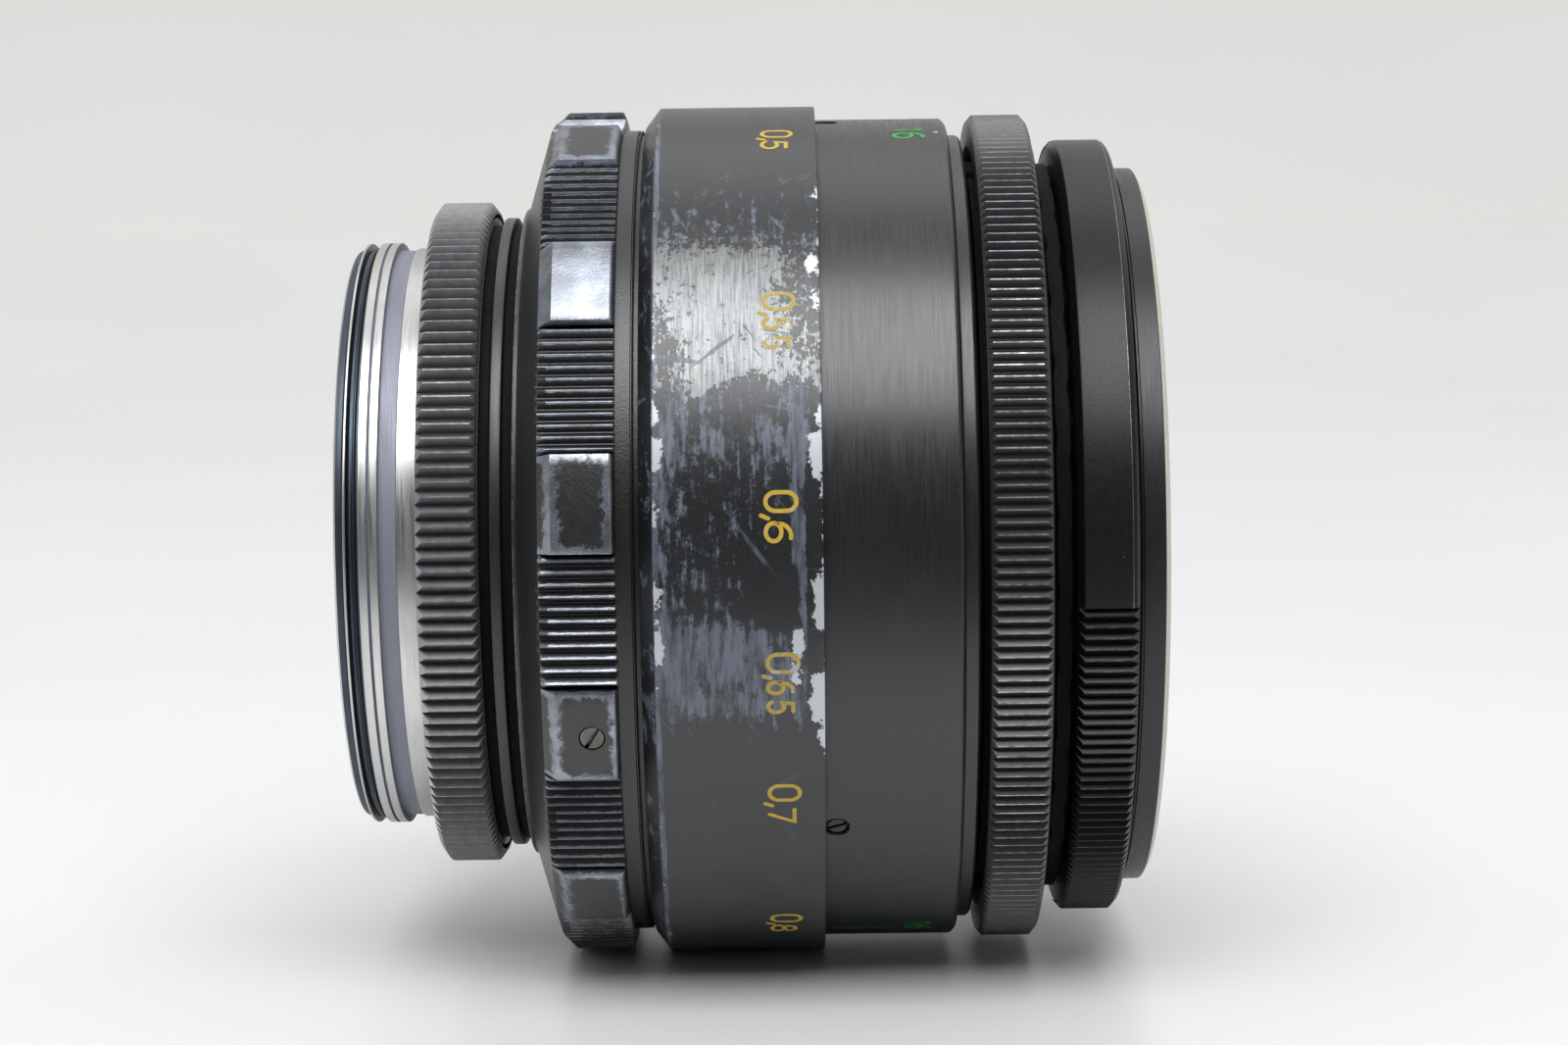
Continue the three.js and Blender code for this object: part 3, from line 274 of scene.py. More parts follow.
class Look:
    """A node material, built one node at a time."""

    def __init__(self, name):
        self.mat = bpy.data.materials.new(name)
        self.mat.use_nodes = True
        self.tree = self.mat.node_tree
        self.tree.nodes.clear()
        self.out = self.tree.nodes.new("ShaderNodeOutputMaterial")
        self.where = self.add("ShaderNodeTexCoord").outputs["Object"]

    def put(self, socket, value):
        """Links another node's output to a socket, or sets a plain value."""
        if isinstance(value, bpy.types.NodeSocket):
            self.tree.links.new(value, socket)
        else:
            socket.default_value = value

    def add(self, kind, values=None, **props):
        node = self.tree.nodes.new(kind)
        for key, value in props.items():
            setattr(node, key, value)
        for key, value in (values or {}).items():
            self.put(node.inputs[key], value)
        return node

    def coords(self, stretch=(1, 1, 1), shift=(0, 0, 0), turn=0.0):
        """Frame coordinates in mm, turned about Y and stretched along each axis."""
        vector = self.where
        if turn:
            turned = {"Vector": vector, "Rotation": (0, math.radians(turn), 0)}
            vector = self.add("ShaderNodeMapping", turned).outputs[0]
        node = self.add("ShaderNodeMapping", {"Vector": vector, "Location": shift,
                                              "Scale": tuple(1000 * v for v in stretch)})
        return node.outputs["Vector"]

    def scratches(self, scale, turn, low, shift=(0, 0, 0)):
        """Long thin marks that run in one direction."""
        node = self.add("ShaderNodeTexNoise", {"Vector": self.coords((1, 0.3, 0.045), shift, turn),
                                               "Scale": scale, "Detail": 1.5, "Roughness": 0.4})
        return self.step(node.outputs["Fac"], low, low + 0.03)

    def noise(self, scale, detail=3.0, rough=0.5, stretch=(1, 1, 1), shift=(0, 0, 0)):
        node = self.add("ShaderNodeTexNoise", {"Vector": self.coords(stretch, shift), "Scale": scale,
                                               "Detail": detail, "Roughness": rough})
        return node.outputs["Fac"]

    def cells(self, scale, shift):
        node = self.add("ShaderNodeTexVoronoi", {"Vector": self.coords(shift=shift), "Scale": scale})
        return node.outputs["Distance"]

    def math(self, operation, a, b):
        return self.add("ShaderNodeMath", {0: a, 1: b}, operation=operation).outputs[0]

    def plus(self, a, b):
        return self.math("ADD", a, b)

    def times(self, a, b):
        return self.math("MULTIPLY", a, b)

    def most(self, a, b):
        return self.math("MAXIMUM", a, b)

    def lean(self, value, terms):
        """A value with noises added, each of which swings about zero and has its own weight."""
        for swing, weight in terms:
            value = self.plus(value, self.times(self.plus(swing, -0.5), weight))
        return value

    def step(self, value, low, high, to_low=0.0, to_high=1.0):
        node = self.add("ShaderNodeMapRange", {"Value": value, "From Min": low, "From Max": high,
                                               "To Min": to_low, "To Max": to_high},
                        interpolation_type="SMOOTHSTEP")
        return node.outputs["Result"]

    def mix(self, factor, a, b):
        """Mixes two colours."""
        a, b = ((*color, 1.0) if isinstance(color, tuple) else color for color in (a, b))
        return self.add("ShaderNodeMix", {0: factor, 6: a, 7: b}, data_type="RGBA").outputs[2]

    def blend(self, factor, a, b):
        """Mixes two numbers."""
        return self.add("ShaderNodeMix", {0: factor, 2: a, 3: b}, data_type="FLOAT").outputs[0]

    def wear(self):
        node = self.add("ShaderNodeAttribute", attribute_name="wear")
        return self.add("ShaderNodeSeparateColor", {"Color": node.outputs["Color"]}).outputs

    def bump(self, height, distance):
        """A relief, with its depth in mm."""
        return self.add("ShaderNodeBump", {"Height": height, "Distance": distance * MM}).outputs["Normal"]

    def surface(self, color, metallic, roughness, normal=None, gloss=0.5):
        values = {"Base Color": (*color, 1.0) if isinstance(color, tuple) else color,
                  "Metallic": metallic, "Roughness": roughness, "Specular IOR Level": gloss}
        if normal is not None:
            values["Normal"] = normal
        node = self.add("ShaderNodeBsdfPrincipled", values)
        self.tree.links.new(node.outputs[0], self.out.inputs["Surface"])
        return self.mat


DUST_GREY = (0.42, 0.41, 0.38)


def shades(color, *factors):
    """The same colour made lighter or darker, channel by channel or all at once."""
    return tuple(c * f for c, f in zip(color, factors * 3 if len(factors) == 1 else factors))


def turning(look, scale=11.0):
    """Fine lines that run round the lens, as a lathe leaves them."""
    return look.noise(scale, 3.0, 0.6, stretch=(1, 0.025, 0.025))


def dust(look, amount=0.5):
    """A thin scatter of pale specks."""
    dots = look.step(look.cells(0.85, shift=(3, 1, 7)), 0.045, 0.02)
    where = look.step(look.noise(0.25, 2, shift=(9, 2, 4)), 0.5, 0.62)
    return look.times(look.times(dots, where), amount)


def satin_black(name, tone=0.008, rough=0.32, lines=0.0022, dusty=0.5, dirt=DUST_GREY, gloss=0.8):
    """Smooth black anodising. tone is how dark it is, and lines how deep the turning lines are in mm."""
    look = Look(name)
    grey = (tone, tone, tone)
    rings = turning(look)
    cloud = look.noise(0.12, 4, 0.6)
    base = look.mix(look.step(cloud, 0.3, 0.7), shades(grey, 0.75, 0.85, 0.95), shades(grey, 1.1, 1.2, 1.32))
    grain = look.noise(9.0, 2, 0.6)
    base = look.mix(look.step(grain, 0.45, 0.75, 0.0, 0.5), base, shades(grey, 2.6, 2.75, 2.9))
    color = look.mix(dust(look, dusty), base, dirt)
    roughness = look.plus(look.step(rings, 0.3, 0.7, rough - 0.05, rough + 0.06),
                          look.step(cloud, 0.35, 0.65, -0.01, 0.02))
    scratch = look.noise(2.2, 2, 0.4, stretch=(1, 0.06, 0.3), shift=(4, 4, 1))
    height = look.plus(rings, look.times(look.step(scratch, 0.66, 0.7), -0.6))
    return look.surface(color, 0.0, roughness, look.bump(height, lines), gloss)


def edge_worn_black(name, tone, rough, bright, low, high, gloss=0.8, pits=0.0):
    """Black anodising, rubbed bright on the crests: the red mask is how far up a crest a point is, the
    green one how worn its region is, and the blue one how deep it lies in a groove, which darkens the
    black there as painted shade."""
    look = Look(name)
    grey = (tone, tone, tone)
    masks = look.wear()
    grain = look.noise(1.6, 5, 0.65)
    fine = look.noise(7.0, 3, 0.6)
    worn = look.lean(look.times(masks["Red"], 0.7), ((masks["Green"], 0.9), (grain, 0.55), (fine, 0.25)))
    bare = look.step(worn, low, high)
    dirt = look.noise(0.5, 4, 0.6, shift=(5, 5, 5))
    metal = look.mix(look.step(dirt, 0.35, 0.65), shades(bright, 0.62), bright)
    black = look.mix(look.step(grain, 0.3, 0.7), shades(grey, 0.8, 0.82, 0.86), shades(grey, 1.4, 1.43, 1.5))
    # painted shade: the blue mask darkens the black deep in grooves and recesses
    black = look.mix(look.step(masks["Blue"], 0.0, 1.0), black, shades(grey, 0.15, 0.15, 0.16))
    color = look.mix(dust(look, 0.5), look.mix(bare, black, metal), DUST_GREY)
    roughness = look.plus(look.blend(bare, rough, 0.3), look.step(fine, 0.3, 0.7, -0.04, 0.06))
    relief = look.bump(look.plus(fine, look.times(bare, -0.5)), 0.006 + pits * 0.5)
    return look.surface(color, look.blend(bare, 0.0, 0.9), roughness, relief, gloss)


def bare_metal(name, color=(0.62, 0.62, 0.61), rough=0.3, lines=0.006, metallic=1.0):
    look = Look(name)
    rings = turning(look, 9.0)
    stain = look.noise(0.22, 4, 0.6, stretch=(1, 0.35, 0.35))
    tint = look.mix(look.step(stain, 0.42, 0.75), color, shades(color, 0.72))
    roughness = look.plus(look.step(rings, 0.3, 0.7, rough - 0.05, rough + 0.1),
                          look.step(stain, 0.4, 0.8, 0.0, 0.12))
    return look.surface(tint, metallic, roughness, look.bump(rings, lines))


def matt_black(name, tone, rough=0.62):
    look = Look(name)
    grey = (tone, tone, tone)
    rings = turning(look, 5.0)
    grain = look.noise(6.0, 3, 0.6)
    color = look.mix(look.step(look.noise(0.3, 3), 0.35, 0.7), shades(grey, 1, 1, 1.05),
                     shades(grey, 1.7, 1.7, 1.8))
    relief = look.bump(look.plus(rings, look.times(grain, 0.2)), 0.003)
    return look.surface(color, 0.0, look.step(grain, 0.3, 0.7, rough - 0.08, rough + 0.1), relief, 0.1)


def paint_look(name, color, fade=(0.45, 0.46, 0.5), low=0.64, high=0.72):
    """Paint in an engraving; also used for the painted reflection on the rim's bare chamfer. Where a noise
    passes from low to high, the paint gives way to fade.
    """
    look = Look(name)
    grain = look.noise(5.0, 4, 0.65)
    patch = look.noise(1.1, 4, 0.7, shift=(2, 8, 5))
    tone = look.mix(look.step(grain, 0.3, 0.7), shades(color, 0.78), color)
    gone = look.step(patch, low, high)
    return look.surface(look.mix(gone, tone, fade), look.blend(gone, 0.0, 0.4),
                        look.step(grain, 0.3, 0.7, 0.42, 0.6), look.bump(grain, 0.008))


def glass(name, color=(0.93, 0.95, 0.99), coat=None):
    """Clear optical glass, with a coloured anti-reflection coating if coat is given."""
    look = Look(name)
    smear = look.noise(0.18, 4, 0.55)
    tint = look.mix(look.step(smear, 0.3, 0.8), color, shades(color, 0.97))
    clear = look.add("ShaderNodeBsdfRefraction", {"Color": tint, "IOR": 1.5, "Roughness": 0.0})
    shown = clear
    if coat:
        shine = look.add("ShaderNodeBsdfGlossy", {"Color": (*coat, 1.0),
                                                  "Roughness": look.step(smear, 0.45, 0.8, 0.0, 0.06)})
        facing = look.add("ShaderNodeLayerWeight", {"Blend": 0.35}).outputs["Facing"]
        amount = look.times(look.step(facing, 0.0, 1.0, 0.05, 0.34), look.step(smear, 0.2, 0.8, 0.9, 1.0))
        shown = look.add("ShaderNodeMixShader", {0: amount, 1: clear.outputs[0], 2: shine.outputs[0]})
    look.tree.links.new(shown.outputs[0], look.out.inputs["Surface"])
    return look.mat


def sleeve_look():
    """The distance scale's satin black, rubbed away: the red mask leans a point towards bare metal, the
    green one towards the thin blue-grey film left under the black, the blue one towards sharp chips."""
    look = Look("scale_sleeve_worn_black")
    masks = look.wear()
    broad = look.noise(0.16, 5, 0.62, shift=(3, 3, 3))
    blot = look.noise(0.5, 6, 0.72, shift=(8, 1, 2))
    small = look.noise(1.5, 6, 0.7, shift=(1, 6, 3))
    fine = look.noise(6.5, 4, 0.65)
    fleck = look.noise(3.2, 4, 0.7, stretch=(1, 0.7, 0.7), shift=(5, 5, 2))
    rings = turning(look, 7.0)
    brushed = look.noise(9.0, 4, 0.6, stretch=(1, 0.04, 0.04), shift=(2, 2, 9))
    rub = look.noise(1.8, 5, 0.7, stretch=(1, 0.16, 0.16), shift=(7, 3, 3))
    marks = look.most(look.scratches(1.6, 38, 0.69), look.scratches(1.9, -57, 0.7, (4, 1, 7)))
    marks = look.most(marks, look.scratches(1.3, 80, 0.71, (9, 3, 2)))

    film_noise = look.lean(masks["Green"], ((blot, 1.3), (rub, 1.5), (small, 1.0), (fine, 0.5)))
    film_on = look.step(film_noise, 0.44, 0.74)
    film_on = look.most(film_on, look.times(marks, look.step(masks["Green"], 0.08, 0.4, 0.15, 0.75)))
    bare_on = look.step(look.lean(masks["Red"], ((blot, 0.7), (small, 0.7), (fleck, 1.5))), 0.44, 0.56)
    bare_on = look.times(bare_on, look.math("SUBTRACT", 1.0, look.times(marks, 0.55)))
    chip_on = look.step(look.lean(masks["Blue"], ((small, 1.7), (fine, 0.6), (blot, 0.9))), 0.56, 0.61)

    black = look.mix(look.step(broad, 0.3, 0.7), (0.008, 0.0089, 0.0104), (0.013, 0.0143, 0.0164))
    film = look.mix(look.step(rub, 0.35, 0.65), (0.05, 0.056, 0.07), (0.15, 0.17, 0.215))
    worked = look.plus(look.times(brushed, 0.7), look.times(blot, 0.3))
    metal = look.mix(look.step(worked, 0.36, 0.64), (0.12, 0.124, 0.126), (0.23, 0.234, 0.234))
    color = look.mix(film_on, black, film)
    color = look.mix(bare_on, color, metal)
    color = look.mix(chip_on, color, (0.6, 0.62, 0.65))
    color = look.mix(dust(look, 0.35), color, DUST_GREY)
    metallic = look.most(look.times(bare_on, 0.9), look.times(film_on, 0.3))
    metallic = look.blend(chip_on, metallic, 0.45)
    rough = look.blend(bare_on, look.blend(film_on, 0.32, 0.42), 0.36)
    rough = look.plus(look.blend(chip_on, rough, 0.45), look.step(fine, 0.3, 0.7, -0.04, 0.06))
    height = look.plus(look.times(rings, 0.3), look.times(bare_on, -0.7))
    height = look.plus(height, look.times(look.times(brushed, bare_on), 0.5))
    height = look.plus(height, look.times(chip_on, -0.6))
    return look.surface(color, metallic, rough, look.bump(height, 0.012), 0.8)


BLACK = satin_black("satin_black_anodised", lines=0.005)
BLACK_RING = satin_black("semi_gloss_black_ring", 0.012, 0.34, 0.003, gloss=0.5)
NECK_BLACK = satin_black("satin_grey_black_neck", 0.009, 0.36, 0.006, 0.95, (0.30, 0.2, 0.07))
KNURL_LOOK = edge_worn_black("knurled_black", 0.12, 0.42, (0.5, 0.52, 0.53), 0.5, 0.95, 1.0)
PRESET_LOOK = edge_worn_black("knurled_preset_black", 0.022, 0.38, (0.55, 0.58, 0.63), 0.5, 0.85)
GRIP_LOOK = edge_worn_black("grip_worn_black", 0.012, 0.34, (0.33, 0.355, 0.4), 0.48, 0.66, pits=0.03)
FRONT_KNURL_LOOK = edge_worn_black("aperture_ring_black", 0.005, 0.34, (0.36, 0.38, 0.4), 0.62, 1.05, 0.38)
SLEEVE_LOOK = sleeve_look()
SILVER = bare_metal("turned_aluminium")
SILVER_FINE = bare_metal("turned_aluminium_fine", (0.55, 0.55, 0.55), 0.34)
BRASS = bare_metal("machined_brass", (0.78, 0.6, 0.3), 0.28)
STEEL = bare_metal("machined_steel", (0.48, 0.47, 0.45), 0.34, 0.01)
SCREW_LOOK = bare_metal("old_screw_steel", (0.2, 0.185, 0.165), 0.36, 0.012)
BLADE_LOOK = bare_metal("blackened_blade_steel", (0.07, 0.07, 0.075), 0.38, 0.002)
THREAD_BLACK = bare_metal("thread_root_dark", (0.075, 0.09, 0.11), 0.4)
UNDERCUT = bare_metal("undercut_grey", (0.27, 0.28, 0.335), 0.5, metallic=0.4)
MATT = matt_black("matt_black_inside", 0.004)
YELLOW = paint_look("engraved_yellow", (0.62, 0.42, 0.05))
YELLOW_WORN = paint_look("engraved_yellow_worn", (0.5, 0.36, 0.07), low=0.54, high=0.62)
GREEN = paint_look("engraved_green", (0.03, 0.42, 0.08))
WHITE = paint_look("engraved_white", (0.62, 0.62, 0.6))
# the rim's bare front chamfer, whose cream colour is a painted reflection of the warm wall
PAINTED_CHAMFER_REFLECTION = paint_look("bare_chamfer_painted_wall_reflection", (0.68, 0.66, 0.56), (0.52, 0.5, 0.42), 0.6, 0.75)
GLASS = glass("coated_glass", coat=(0.62, 0.5, 0.95))
GLASS_AMBER = glass("coated_glass_amber", (0.95, 0.96, 0.94), (0.95, 0.6, 0.35))
GLASS_INNER = glass("clear_glass")

# ------------------------------------------------------------------ camera mount


# how many flat facets the CAD gives its outer rings and its inner ones
OUTER_FACETS = 32
INNER_FACETS = 24


def box_radius(node):
    """The corner radius of a node turned with OUTER_FACETS facets, whose box lies on their flats."""
    low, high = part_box(node)
    return (high.z - low.z) / 2 / MM / math.cos(math.pi / OUTER_FACETS)


THREAD_R = box_radius("mount_thread_tube")
THREAD_FROM, THREAD_TO = span("mount_thread_tube")
MOUNT_BORE = THREAD_R - 2.25


def mount_tube():
    root = THREAD_R - 0.6
    a = THREAD_FROM
    outline = [(a, MOUNT_BORE), (a, root - 0.15), (a + 0.16, root + 0.02)]
    # two crests of the thread, then the plain land with its two fine grooves, and the undercut
    outline += [(a + 0.55, root), (a + 0.7, THREAD_R - 0.08), (a + 0.85, THREAD_R - 0.08), (a + 1.02, root)]
    outline += [(a + 1.28, root - 0.05), (a + 1.33, root + 0.25), (a + 1.43, root + 0.25),
                (a + 1.48, root - 0.05), (a + 1.66, root - 0.05), (a + 1.7, THREAD_R - 0.06)]
    outline += [(a + 2.28, THREAD_R - 0.05), (a + 2.3, THREAD_R - 0.28), (a + 2.42, THREAD_R - 0.28),
                (a + 2.44, THREAD_R - 0.05), (a + 3.0, THREAD_R - 0.05), (a + 3.02, THREAD_R - 0.6)]
    outline += [(a + 4.2, THREAD_R - 0.6), (a + 4.22, THREAD_R - 0.45), (THREAD_TO, THREAD_R - 0.45),
                (THREAD_TO, MOUNT_BORE)]
    # the bore, with shallow steps cut against stray light
    steps = []
    s = THREAD_TO - 0.6
    while s > a + 1.2:
        steps += [(s, MOUNT_BORE), (s - 0.25, MOUNT_BORE + 0.22), (s - 0.5, MOUNT_BORE)]
        s -= 0.75
    obj = ring("mount_thread", soften(outline + steps, 0.03, 1), SILVER, 288, sharp=30)
    for look in (MATT, THREAD_BLACK, UNDERCUT):
        obj.data.materials.append(look)
    matt, dark, grey = 1, 2, 3
    for face in obj.data.polygons:
        station, r = place_of(face)
        t = station - a
        if r < root - 0.5:
            face.material_index = matt
        elif 0.14 < t < 1.66 and not 0.66 < t < 0.9:
            face.material_index = dark
        elif 2.26 < t < 2.46 or 3.01 < t < 4.2:
            face.material_index = grey
    adopt(obj, "mount", "bare_aluminium", "mount_thread_tube")


mount_tube()

KNURL_R = box_radius("rear_knurled_ring")
KNURL_FROM, KNURL_TO = span("rear_knurled_ring")
REAR_TEETH = 150


def drill(obj, holes, sharp):
    """Cuts round blind holes into a mesh, each given as (station, angle, radius of its floor, its own
    radius). The new points at a hole's rim get a rubbed mask, and those inside it a mask that darkens
    them as painted shade."""
    n = 32
    tool_height = 3
    verts, faces = [], []
    for station, angle, floor, radius in holes:
        base = len(verts)
        side = math.radians(angle)
        for height in (floor, floor + tool_height):
            for i in range(n):
                turn = 2 * math.pi * i / n
                s, across = station + radius * math.cos(turn), radius * math.sin(turn)
                x, y, z = point(s, height, angle)
                verts.append((x, y - across * MM * math.sin(side), z + across * MM * math.cos(side)))
        faces += [(base + i, base + (i + 1) % n, base + n + (i + 1) % n, base + n + i) for i in range(n)]
        faces += [tuple(base + n + i for i in range(n)), tuple(base + n - 1 - i for i in range(n))]
    mesh = cut(obj, finish_mesh("drill_tool", verts, faces, obj.data.materials[0]))
    mesh.set_sharp_from_angle(angle=math.radians(sharp))
    # painted shade: new points inside a hole get the groove mask, which darkens them
    for vertex, mask in zip(mesh.vertices, mesh.attributes["wear"].data):
        for station, angle, floor, radius in holes:
            away = (vertex.co - Vector(point(station, floor + 0.9, angle))).length
            if away < (radius + 0.12) * MM:
                mask.color = (0.3, 0.45, 0.0, 1.0)
            elif away < (radius + 1.2) * MM and mask.color[3] == 0:
                mask.color = (0.0, 0.2, 1.0, 1.0)


def even_wear(s, r, angle, reach):
    """The wear mask of a ring's plain body between its teeth."""
    return (0.1, 0.45, 0)


def rear_knurl():
    depth = 0.62
    low = KNURL_R - depth + 0.01
    seat = THREAD_R - 0.15
    bore = KNURL_R - 0.8
    shoulder = KNURL_FROM + 1.8
    body = ring("rear_ring_body", [(KNURL_FROM, seat), (KNURL_FROM, low), (KNURL_TO, low), (KNURL_TO, bore),
                                   (shoulder, bore), (shoulder, seat)],
                KNURL_LOOK, REAR_TEETH, wear=even_wear)
    adopt(body, "mount", BLACK_SLOT, "rear_knurled_ring")
    obj = knurl("rear_ring_teeth", KNURL_FROM, KNURL_TO, KNURL_R, depth, REAR_TEETH, 0.4, KNURL_LOOK, 0.46,
                0.07, ends=(1.6, 0.0))
    adopt(obj, "mount", BLACK_SLOT)


rear_knurl()


def neck():
    start, end = span("fixed_guide_tube")
    radius = KNURL_R - 1.1
    a = KNURL_TO
    bore = radius - 1.1
    sunk = radius - 0.5
    guide_from, guide_to = 6.6, 10.2
    collar = radius + 2.1
    outline = [(start, bore), (start, radius), (a, radius), (a, radius - 0.55), (a + 0.66, radius - 0.55),
               (a + 0.7, radius - 0.06), (a + 0.78, radius), (a + 1.42, radius), (a + 1.5, radius - 0.06)]
    outline += [(a + 1.52, sunk), (guide_from, sunk), (guide_from + 0.05, radius), (guide_to, radius),
                (guide_to, collar), (guide_to + 1.2, collar), (guide_to + 1.2, radius), (end, radius),
                (end, bore)]
    obj = ring("neck_tube", soften(outline, 0.05, 1), NECK_BLACK, 256)
    obj.data.materials.append(MATT)
    # painted shade: the sunken bands next to the knurled ring take the near-black matt look
    for face in obj.data.polygons:
        station, r = place_of(face)
        if r < radius - 0.3 and a - 0.1 < station < guide_from + 0.1:
            face.material_index = 1
    adopt(obj, "mount", BLACK_SLOT, "fixed_guide_tube")


neck()

# ------------------------------------------------------------------ focusing grip

GRIP_TO = span("focus_grip_ring")[1]
GRIP_R = 30.1
GRIP_BORE = 22.9
BLOCKS = 12
BLOCK_PITCH = 360 / BLOCKS
# the first block's middle and each block's width, in degrees
GRIP_FIRST = -9.2
BLOCK = 12.4
HALF_BLOCK = BLOCK / 2
RIBS_PER_SCALLOP = 11
# the cone and the bevel behind the blocks: where they start, how long they are, and their radii
REAR_EDGE = 6.4
CONE_FROM, CONE_LENGTH = 6.7, 1.8
CONE_TO = CONE_FROM + CONE_LENGTH
CONE_R, BEVEL_R = 23.25, 29.2
BEVEL_LENGTH = 0.9
BEVEL_TO = CONE_TO + BEVEL_LENGTH
# the blocks' front end, and the plain band in front of them with its fine groove
BLOCKS_TO = 13.2
BAND_FROM, BAND_TO = 13.5, 14.73
BAND_R = 28.7
BAND_GROOVE = 14.55
SET_SCREW_STATION, SET_SCREW_ANGLE = 11.75, 20.8
# how worn each block and the scallop after it is, counted from the one nearest the viewer
BLOCK_WEAR = {0: 0.64, 1: 0.64, 2: 0.6, 3: 0.35, 4: 0.3, 5: 0.5, 6: 0.6, 7: 0.45, 8: 0.4, 9: 0.6, 10: 0.7,
              11: 1.2}
SCALLOP_WEAR = {0: 0.72, 1: 0.66, 2: 0.5, 3: 0.4, 4: 0.45, 5: 0.5, 6: 0.5, 7: 0.5, 8: 0.5, 9: 0.8, 10: 0.85,
                11: 0.72}


def grip_place(angle):
    """Which block is nearest, and how far the angle is from its middle."""
    turn = (angle - GRIP_FIRST) / BLOCK_PITCH
    index = math.floor(turn + 0.5)
    return index, (turn - index) * BLOCK_PITCH


def scallop_radius(offset):
    """The crests of the ribs between two blocks, at an angle from a block's middle."""
    inside = (abs(offset) - HALF_BLOCK) / (BLOCK_PITCH / 2 - HALF_BLOCK)
    return GRIP_R - 0.45 - 0.55 * math.sin(math.pi / 2 * min(1, max(0, inside)))


def rib_height(offset):
    """0 in the groove between two ribs, 1 on a rib."""
    start = HALF_BLOCK if offset > 0 else HALF_BLOCK - BLOCK_PITCH
    phase = ((offset - start) / (BLOCK_PITCH - BLOCK) * RIBS_PER_SCALLOP) % 1
    return 1 - abs(2 * phase - 1)


def grip_angles():
    out = []
    step = (BLOCK_PITCH - BLOCK) / RIBS_PER_SCALLOP
    for i in range(BLOCKS):
        start = GRIP_FIRST + i * BLOCK_PITCH - HALF_BLOCK
        end = start + BLOCK
        out += [start + 0.02, start + 0.25]
        out += [start + 0.25 + (BLOCK - 0.5) * k / 10 for k in range(1, 10)]
        out += [end - 0.25, end - 0.02]
        for k in range(RIBS_PER_SCALLOP):
            out += [end + k * step + step * f for f in (0.04, 0.25, 0.44, 0.48, 0.52, 0.56, 0.75, 0.96)]
    return out


def grip():
    spigot = 28.36
    pocket, pocket_from = 27.5, 9.9
    outline = [(REAR_EDGE, GRIP_BORE), (REAR_EDGE, CONE_R - 0.09), (REAR_EDGE + 0.06, CONE_R - 0.03),
               (CONE_FROM, CONE_R)]
    widening = BEVEL_R - CONE_R
    outline += [(CONE_FROM + CONE_LENGTH * k / 10, CONE_R + widening * k / 10) for k in range(1, 11)]
    outline += [(CONE_TO + BEVEL_LENGTH * k / 6, BEVEL_R + BEVEL_LENGTH * k / 6) for k in range(1, 7)]
    outline += [(BEVEL_TO + (BLOCKS_TO - BEVEL_TO) * k / 8, GRIP_R) for k in range(1, 9)]
    outline += [(13.32, GRIP_R - 0.1), (13.4, GRIP_R - 0.3), (BAND_FROM, GRIP_R - 0.55),
                (BAND_FROM + 0.02, BAND_R + 0.02), (BAND_FROM + 0.1, BAND_R)]
    outline += [(BAND_GROOVE - 0.05, BAND_R), (BAND_GROOVE, BAND_R - 0.15),
                (BAND_GROOVE + 0.05, BAND_R - 0.15), (BAND_GROOVE + 0.11, BAND_R), (BAND_TO, BAND_R - 0.05)]
    outline += [(BAND_TO, spigot), (GRIP_TO, spigot), (GRIP_TO, pocket), (pocket_from, pocket),
                (pocket_from, GRIP_BORE)]

    def shape(s, r, angle):
        if s > BAND_FROM + 0.01 or s < CONE_FROM + 0.05 or r < CONE_R - 0.25:
            return r
        offset = grip_place(angle)[1]
        edge = HALF_BLOCK - abs(offset)
        if edge >= 0:
            rounding = 0.06 * (0.25 - edge) / 0.25 if edge < 0.25 else 0
            return min(r, GRIP_R - rounding)
        rib = min(1, rib_height(offset) * 1.06)
        return min(r, scallop_radius(offset) - 0.5 * (1 - rib))

    def wear(s, r, angle, reach):
        index, offset = grip_place(angle)
        # the third value darkens the black as painted shade: at the rear edge, on the sunken band, on the low
        # cone and in the grooves between ribs
        if s < CONE_FROM + 0.02:
            return (0.8 if abs(s - REAR_EDGE - 0.06) < 0.02 else 0.0, 0.55, 0.4)
        if s > BAND_FROM - 0.05:
            return (0.75 if abs(s - BAND_GROOVE) < 0.02 else 0.0, 0.3, 0.7)
        if s < 9.0 and reach < GRIP_R - 0.95:
            return (0.0, 0.22, 0.3)
        if abs(offset) <= HALF_BLOCK:
            near_side = smooth(1.8, 0.1, HALF_BLOCK - abs(offset))
            near_end = max(smooth(0.95, 0.05, abs(s - BEVEL_TO)), smooth(1.0, 0.1, 13.35 - s))
            # the nearest block is flecked all over, the others mostly along their edges
            flecked = 0.13 if index % BLOCKS == 0 else 0.0
            red = 0.25 + flecked + (0.55 - flecked) * max(near_side, near_end)
            return (red, BLOCK_WEAR[index % BLOCKS], 0.0)
        # the grooves between the ribs get painted shade from the third value
        rib = rib_height(offset)
        line = max(smooth(0.5, 0.1, abs(s - 9.2)), smooth(0.45, 0.1, 13.4 - s))
        scallop = SCALLOP_WEAR[index % BLOCKS if offset > 0 else (index - 1) % BLOCKS]
        return (smooth(0.8, 0.88, rib) * (0.8 + 0.2 * line), scallop, smooth(0.7, 0.2, rib))

    obj = ring("grip", outline, GRIP_LOOK, grip_angles(), shape, wear, 28)
    holes = [(SET_SCREW_STATION, SET_SCREW_ANGLE + 120 * k, GRIP_R - 0.9, 0.88) for k in range(3)]
    drill(obj, holes, 28)
    adopt(obj, "focus_ring", BLACK_SLOT, "focus_grip_ring")


grip()

# ------------------------------------------------------------------ distance scale sleeve

SLEEVE_R = 30.26
SLEEVE_FROM, SLEEVE_TO = span("distance_scale_sleeve")


